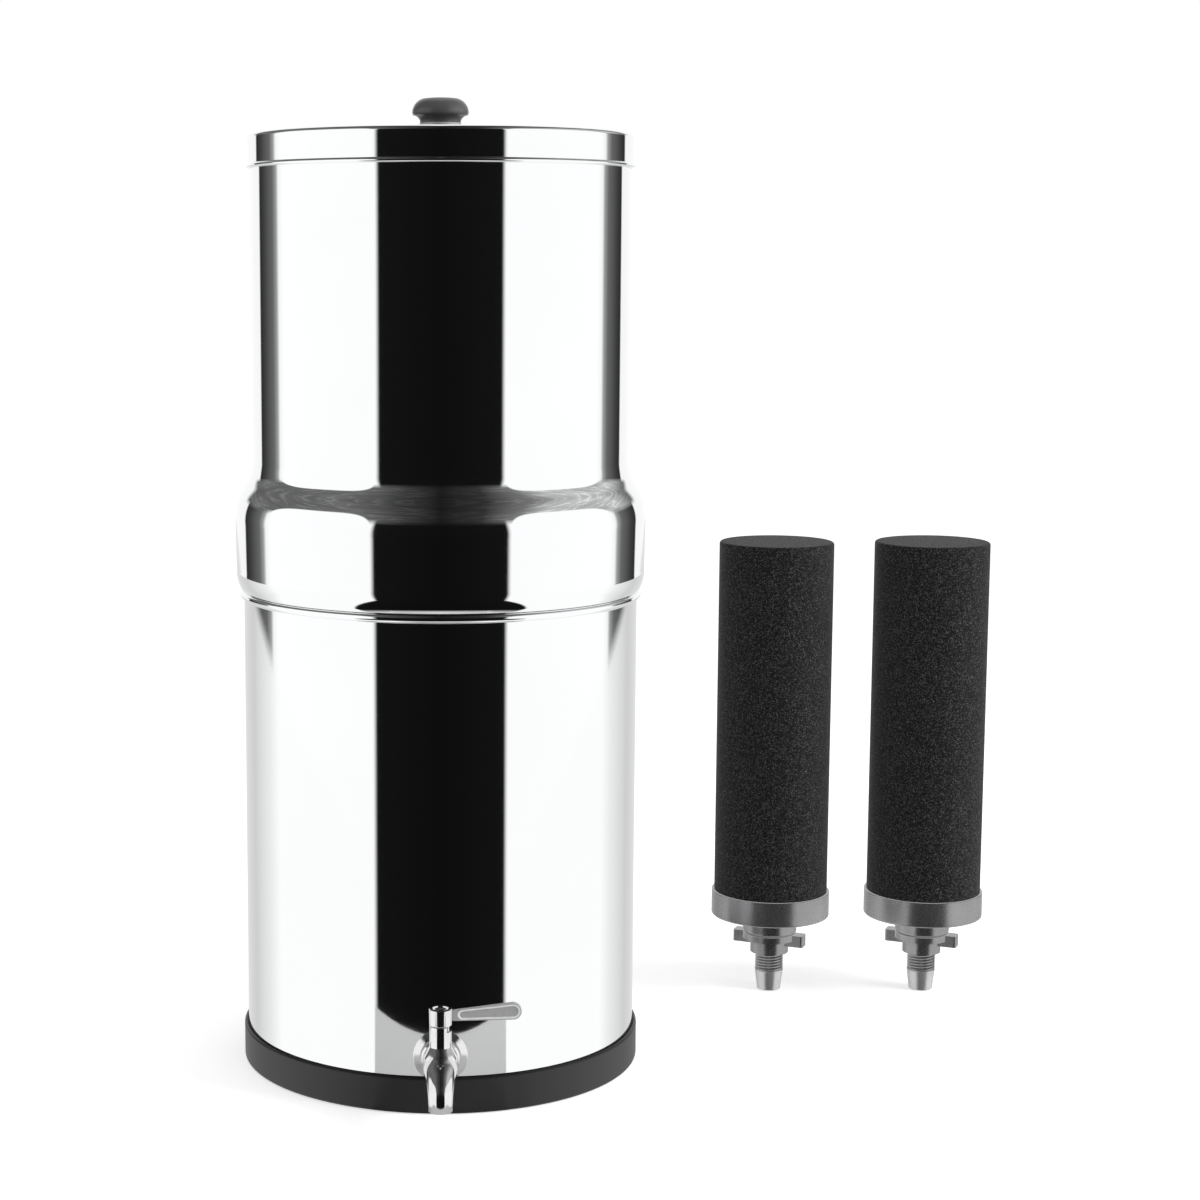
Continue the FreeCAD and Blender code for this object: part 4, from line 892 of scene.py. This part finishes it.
class FILTER_OT_lever(Operator):
    """Lever: hub, lug, and paddle with a sunk pad"""
    bl_idname = "filter.lever"
    bl_label = "Lever"

    # The lug's ends are angles in degrees; the rises count from the hub's foot.
    lug_ends = (36, 64)
    hub_gap, hub_height, hub_flare = 0.2 * MM, 8.7 * MM, 0.25 * MM
    screw_seat, screw_depth = 4.1 * MM, 1.9 * MM
    lever_root, root_place, root_rise, tip_rise = 2.7 * MM, 7.3 * MM, 2.3 * MM, 3.0 * MM
    pad_root, pad_tip, lever_rim = 1.8 * MM, 2.9 * MM, 0.8 * MM
    pad_start, pad_rise, pad_depth, pad_step = 9.6 * MM, 5.55 * MM, 0.5 * MM, 0.06 * MM

    def capsule(self, first, first_radius, second, second_radius, depth, count=64):
        """Outline of two circles and their outer tangents, in the plane of the paddle, at a
        depth along Y. Half of the points lie on each circle's outer arc."""
        first, second = np.array(first), np.array(second)
        gap = second - first
        reach = np.linalg.norm(gap)
        lean = math.atan2(gap[1], gap[0])
        open_angle = math.acos((first_radius - second_radius) / reach)
        tip = np.linspace(lean - open_angle, lean + open_angle, count)
        root = np.linspace(lean + open_angle, lean + TAU - open_angle, count)
        spots = np.concatenate([
            second + second_radius * np.stack([np.cos(tip), np.sin(tip)], 1),
            first + first_radius * np.stack([np.cos(root), np.sin(root)], 1)])
        return np.stack([spots[:, 0], np.full(2 * count, depth), spots[:, 1]], 1)

    def execute(self, context):
        sizes = tap()
        place, far = -sizes.barrel_place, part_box("tap_lever")[1][0]
        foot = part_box("tap_body")[1][2] + self.hub_gap
        tip_radius, thick, root_radius = sizes.lever_tip, sizes.lever_thick / 2, self.lever_root
        root = (self.root_place, foot + self.root_rise + root_radius)
        tip = (far - tip_radius, foot + self.tip_rise + tip_radius)
        pad_root = (self.pad_start + self.pad_root, foot + self.pad_rise)
        floor, rim, raised = thick - self.pad_depth, self.lever_rim, thick + self.pad_step

        def row(inset, depth):
            return self.capsule(root, root_radius - inset, tip, tip_radius - inset, place - depth)

        def pad_row(inset, depth):
            return self.capsule(pad_root, self.pad_root - inset, tip, self.pad_tip - inset, place - depth)

        rows = [row(2 * MM, -thick)]
        turns = np.radians(np.linspace(0, 90, 6))
        rows += [row(EDGE * (1 - math.sin(a)), EDGE - thick - EDGE * math.cos(a)) for a in turns]
        rows += [row(EDGE * (1 - math.cos(a)), thick - EDGE + EDGE * math.sin(a)) for a in turns]
        plain = len(rows)
        rows += [pad_row(-rim, thick), pad_row(-rim, raised), pad_row(-0.12 * MM, raised),
                 pad_row(0.0, thick - self.pad_step), pad_row(0.12 * MM, floor + 0.1 * MM),
                 pad_row(EDGE, floor), pad_row(0.45 * MM, floor),
                 pad_row(self.pad_root - 0.1 * MM, floor)]
        shades = np.full(len(rows) - 1, 1)
        # The raised rim round the pad takes the third finish, whose lighter colour is a painted highlight.
        shades[plain:plain + 4] = 2
        paddle = grid_mesh(np.stack(rows), shades=shades)
        self.cap_ends(paddle, len(rows), rows[0].shape[0], 1)

        hub, hub_top = sizes.hub_radius, foot + self.hub_height
        seat, seat_floor = self.screw_seat, hub_top - self.screw_depth
        outline = rounded([(0, foot), (hub, foot, 0.2 * MM), (hub + self.hub_flare, hub_top, 0.6 * MM),
                           (seat, hub_top, EDGE), (seat, seat_floor), (0, seat_floor)])
        skin = turned(outline, 96, (0, place, 0))
        finish_piece("tap_lever_casting", [paddle, skin, self.lug(foot)], "lever", "tap_steel",
                     ["tap_lever"], ["tap_steel", "lever_steel", "lever_rim"], sharp=50)
        return {"FINISHED"}

    def lug(self, foot):
        """A block under the hub, bent round its axis, that runs in the barrel's notch."""
        sizes = tap()
        angle = np.radians(np.linspace(*self.lug_ends, 14))[:, None]
        inner, outer = sizes.notch_inner + EDGE, sizes.hub_radius - 0.2 * MM
        low, high = foot - sizes.notch_depth + EDGE, foot + 0.5 * MM
        radius = np.array([[inner, outer, outer, inner]])
        level = np.array([low, low, high, high])
        points = np.stack([radius * np.cos(angle), radius * np.sin(angle) - sizes.barrel_place,
                           np.repeat(level[None], 14, 0)], -1)
        mesh = grid_mesh(points)
        self.cap_ends(mesh, 14, 4)
        return mesh

    def cap_ends(self, mesh, rows, columns, shade=0):
        """Closes the first and last rings of the grid with a face each, of that material."""
        work = bmesh.new()
        work.from_mesh(mesh)
        work.verts.ensure_lookup_table()
        for start in (0, (rows - 1) * columns):
            face = work.faces.new([work.verts[start + i] for i in range(columns)])
            face.material_index = shade
        work.to_mesh(mesh)
        work.free()


class FILTER_OT_elements(Operator):
    """Filter elements: carbon, cap, threaded stem, washer and wing nut of each"""
    bl_idname = "filter.elements"
    bl_label = "Elements"

    cap_wall, stem_bore, bore_start, spigot_radius = 1.4 * MM, 3.5 * MM, 6.0 * MM, 7.0 * MM
    thread_depth, thread_start, thread_fade, crest_width = 0.9 * MM, 0.4 * MM, 1.2 * MM, 0.8
    bodies = (("left_element", "upper"), ("right_element", "upper"),
              ("loose_near", "loose_near"), ("loose_far", "loose_far"))

    def execute(self, context):
        for name, body in self.bodies:
            self.add_carbon(name, body)
            self.add_cap(name, body)
            self.add_stem(name, body)
            dress(name + "_washer", "seal_rubber")
            dress(name + "_wing_nut", "element_plastic")
        return {"FINISHED"}

    def add_carbon(self, name, body):
        middle, radius, low, top = cylinder_box(name + "_carbon")
        outline = rounded([(0, low), (radius, low, 0.5 * MM), (radius, top, 1.5 * MM), (0, top)])
        wall = np.linspace((radius, low + 2 * MM), (radius, top - 3 * MM), 80)
        half = len(outline) // 2
        outline = np.concatenate([outline[:half], wall, outline[half:]])
        finish_piece(name + "_carbon_block", [turned(outline, 128, (*middle, 0))], body,
                     "carbon_block", [name + "_carbon"])

    def add_cap(self, name, body):
        sizes = element()
        middle, radius, low, top = cylinder_box(name + "_cap")
        neck, foot = sizes.neck_radius, low + sizes.neck_height
        inside, floor = radius - self.cap_wall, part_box(name + "_carbon")[0][2]
        outline = rounded([(0, low), (neck, low, 0.4 * MM), (neck, foot, EDGE), (radius, foot, MM),
                           (radius, top, 0.4 * MM), (inside, top, 0.2 * MM), (inside, floor),
                           (0, floor)])
        finish_piece(name + "_cap_moulding", [turned(outline, 128, (*middle, 0))], body,
                     "element_plastic", [name + "_cap"])

    def add_stem(self, name, body):
        """The thread is a tube whose radius follows a wave of height minus turn: each crest
        climbs one pitch in a turn."""
        sizes = element()
        middle, _, low, top = cylinder_box(name + "_stem")
        spigot, bore = low + sizes.spigot_height, self.stem_bore
        columns, crest = 96, sizes.thread_radius
        angle = np.linspace(0, TAU, columns, endpoint=False)
        start = spigot + self.thread_start
        height = np.linspace(start, top, 420)[:, None]
        wave = 0.5 + 0.5 * np.cos(TAU * height / sizes.thread_pitch - angle)
        fade = np.clip((height - start) / self.thread_fade, 0, 1)
        swell = crest - self.thread_depth * (1 - wave ** self.crest_width) * fade
        thread = np.stack([swell * np.cos(angle), swell * np.sin(angle), np.repeat(height, columns, 1)], -1)
        tip = rounded([(bore, low + self.bore_start), (bore, low, EDGE),
                       (self.spigot_radius, low, 0.6 * MM), (crest, spigot, EDGE),
                       (crest - 0.2 * MM, spigot + 0.2 * MM)])
        points = np.concatenate([spun(tip, angle), thread, spun([(bore, top)], angle)])
        points += np.array([*middle, 0])
        shades = np.arange(len(points)) < len(tip)
        finish_piece(name + "_stem_moulding", [grid_mesh(points, True, shades)], body,
                     "element_plastic", [name + "_stem"], ["element_plastic", "spigot_plastic"])


class FILTER_OT_small_parts(Operator):
    """Screws, nuts, seals, plugs and valve parts, in the shape of their solids"""
    bl_idname = "filter.small_parts"
    bl_label = "Small Parts"

    parts = {
        "fastener_steel": ("knob_washer", "knob_screw", "tap_lock_nut", "seat_retainer",
                           "lever_screw", "valve_stem", "valve_ball"),
        "seal_rubber": ("tap_outer_washer", "tap_inner_washer", "stem_seal", "plug_washers"),
        "seat_plastic": ("valve_seats",),
        "element_plastic": ("blanking_plugs", "plug_nuts"),
    }

    def execute(self, context):
        for key, nodes in self.parts.items():
            for node in nodes:
                dress(node, key)
        return {"FINISHED"}


class FILTER_PT_panel(Panel):
    """Lists the pieces in the sidebar"""
    bl_idname = "FILTER_PT_panel"
    bl_label = "Gravity Water Filter"
    bl_space_type = "VIEW_3D"
    bl_region_type = "UI"
    bl_category = "Filter"

    def draw(self, context):
        for operator in OPERATORS:
            self.layout.operator(operator.bl_idname)


GROUPS = (
    (FILTER_PG_vessel, "filter_vessel"),
    (FILTER_PG_tap, "filter_tap"),
    (FILTER_PG_element, "filter_element"),
    (FILTER_PG_finish, "filter_finish"),
)
OPERATORS = (FILTER_OT_stage, FILTER_OT_base, FILTER_OT_lower_chamber, FILTER_OT_upper_chamber,
             FILTER_OT_lid, FILTER_OT_knob, FILTER_OT_tap_flange, FILTER_OT_tap_body,
             FILTER_OT_lever, FILTER_OT_elements, FILTER_OT_small_parts)


def register():
    for group, name in GROUPS:
        bpy.utils.register_class(group)
        setattr(bpy.types.Scene, name, PointerProperty(type=group))
    for cls in OPERATORS + (FILTER_PT_panel,):
        bpy.utils.register_class(cls)


def unregister():
    for cls in reversed(OPERATORS + (FILTER_PT_panel,)):
        bpy.utils.unregister_class(cls)
    for group, name in reversed(GROUPS):
        delattr(bpy.types.Scene, name)
        bpy.utils.unregister_class(group)


def hide_from_mirrors():
    """Keeps the loose pair and the tap out of the chambers' reflections."""
    for item in bpy.context.scene.objects:
        if item.name.startswith(("loose_", "tap_", "lever_", "valve_", "stem_", "seat_")):
            item.visible_glossy = False


def main():
    register()
    for operator in OPERATORS:
        group, name = operator.bl_idname.split(".")
        getattr(getattr(bpy.ops, group), name)()
    hide_from_mirrors()


if __name__ == "__main__":
    main()
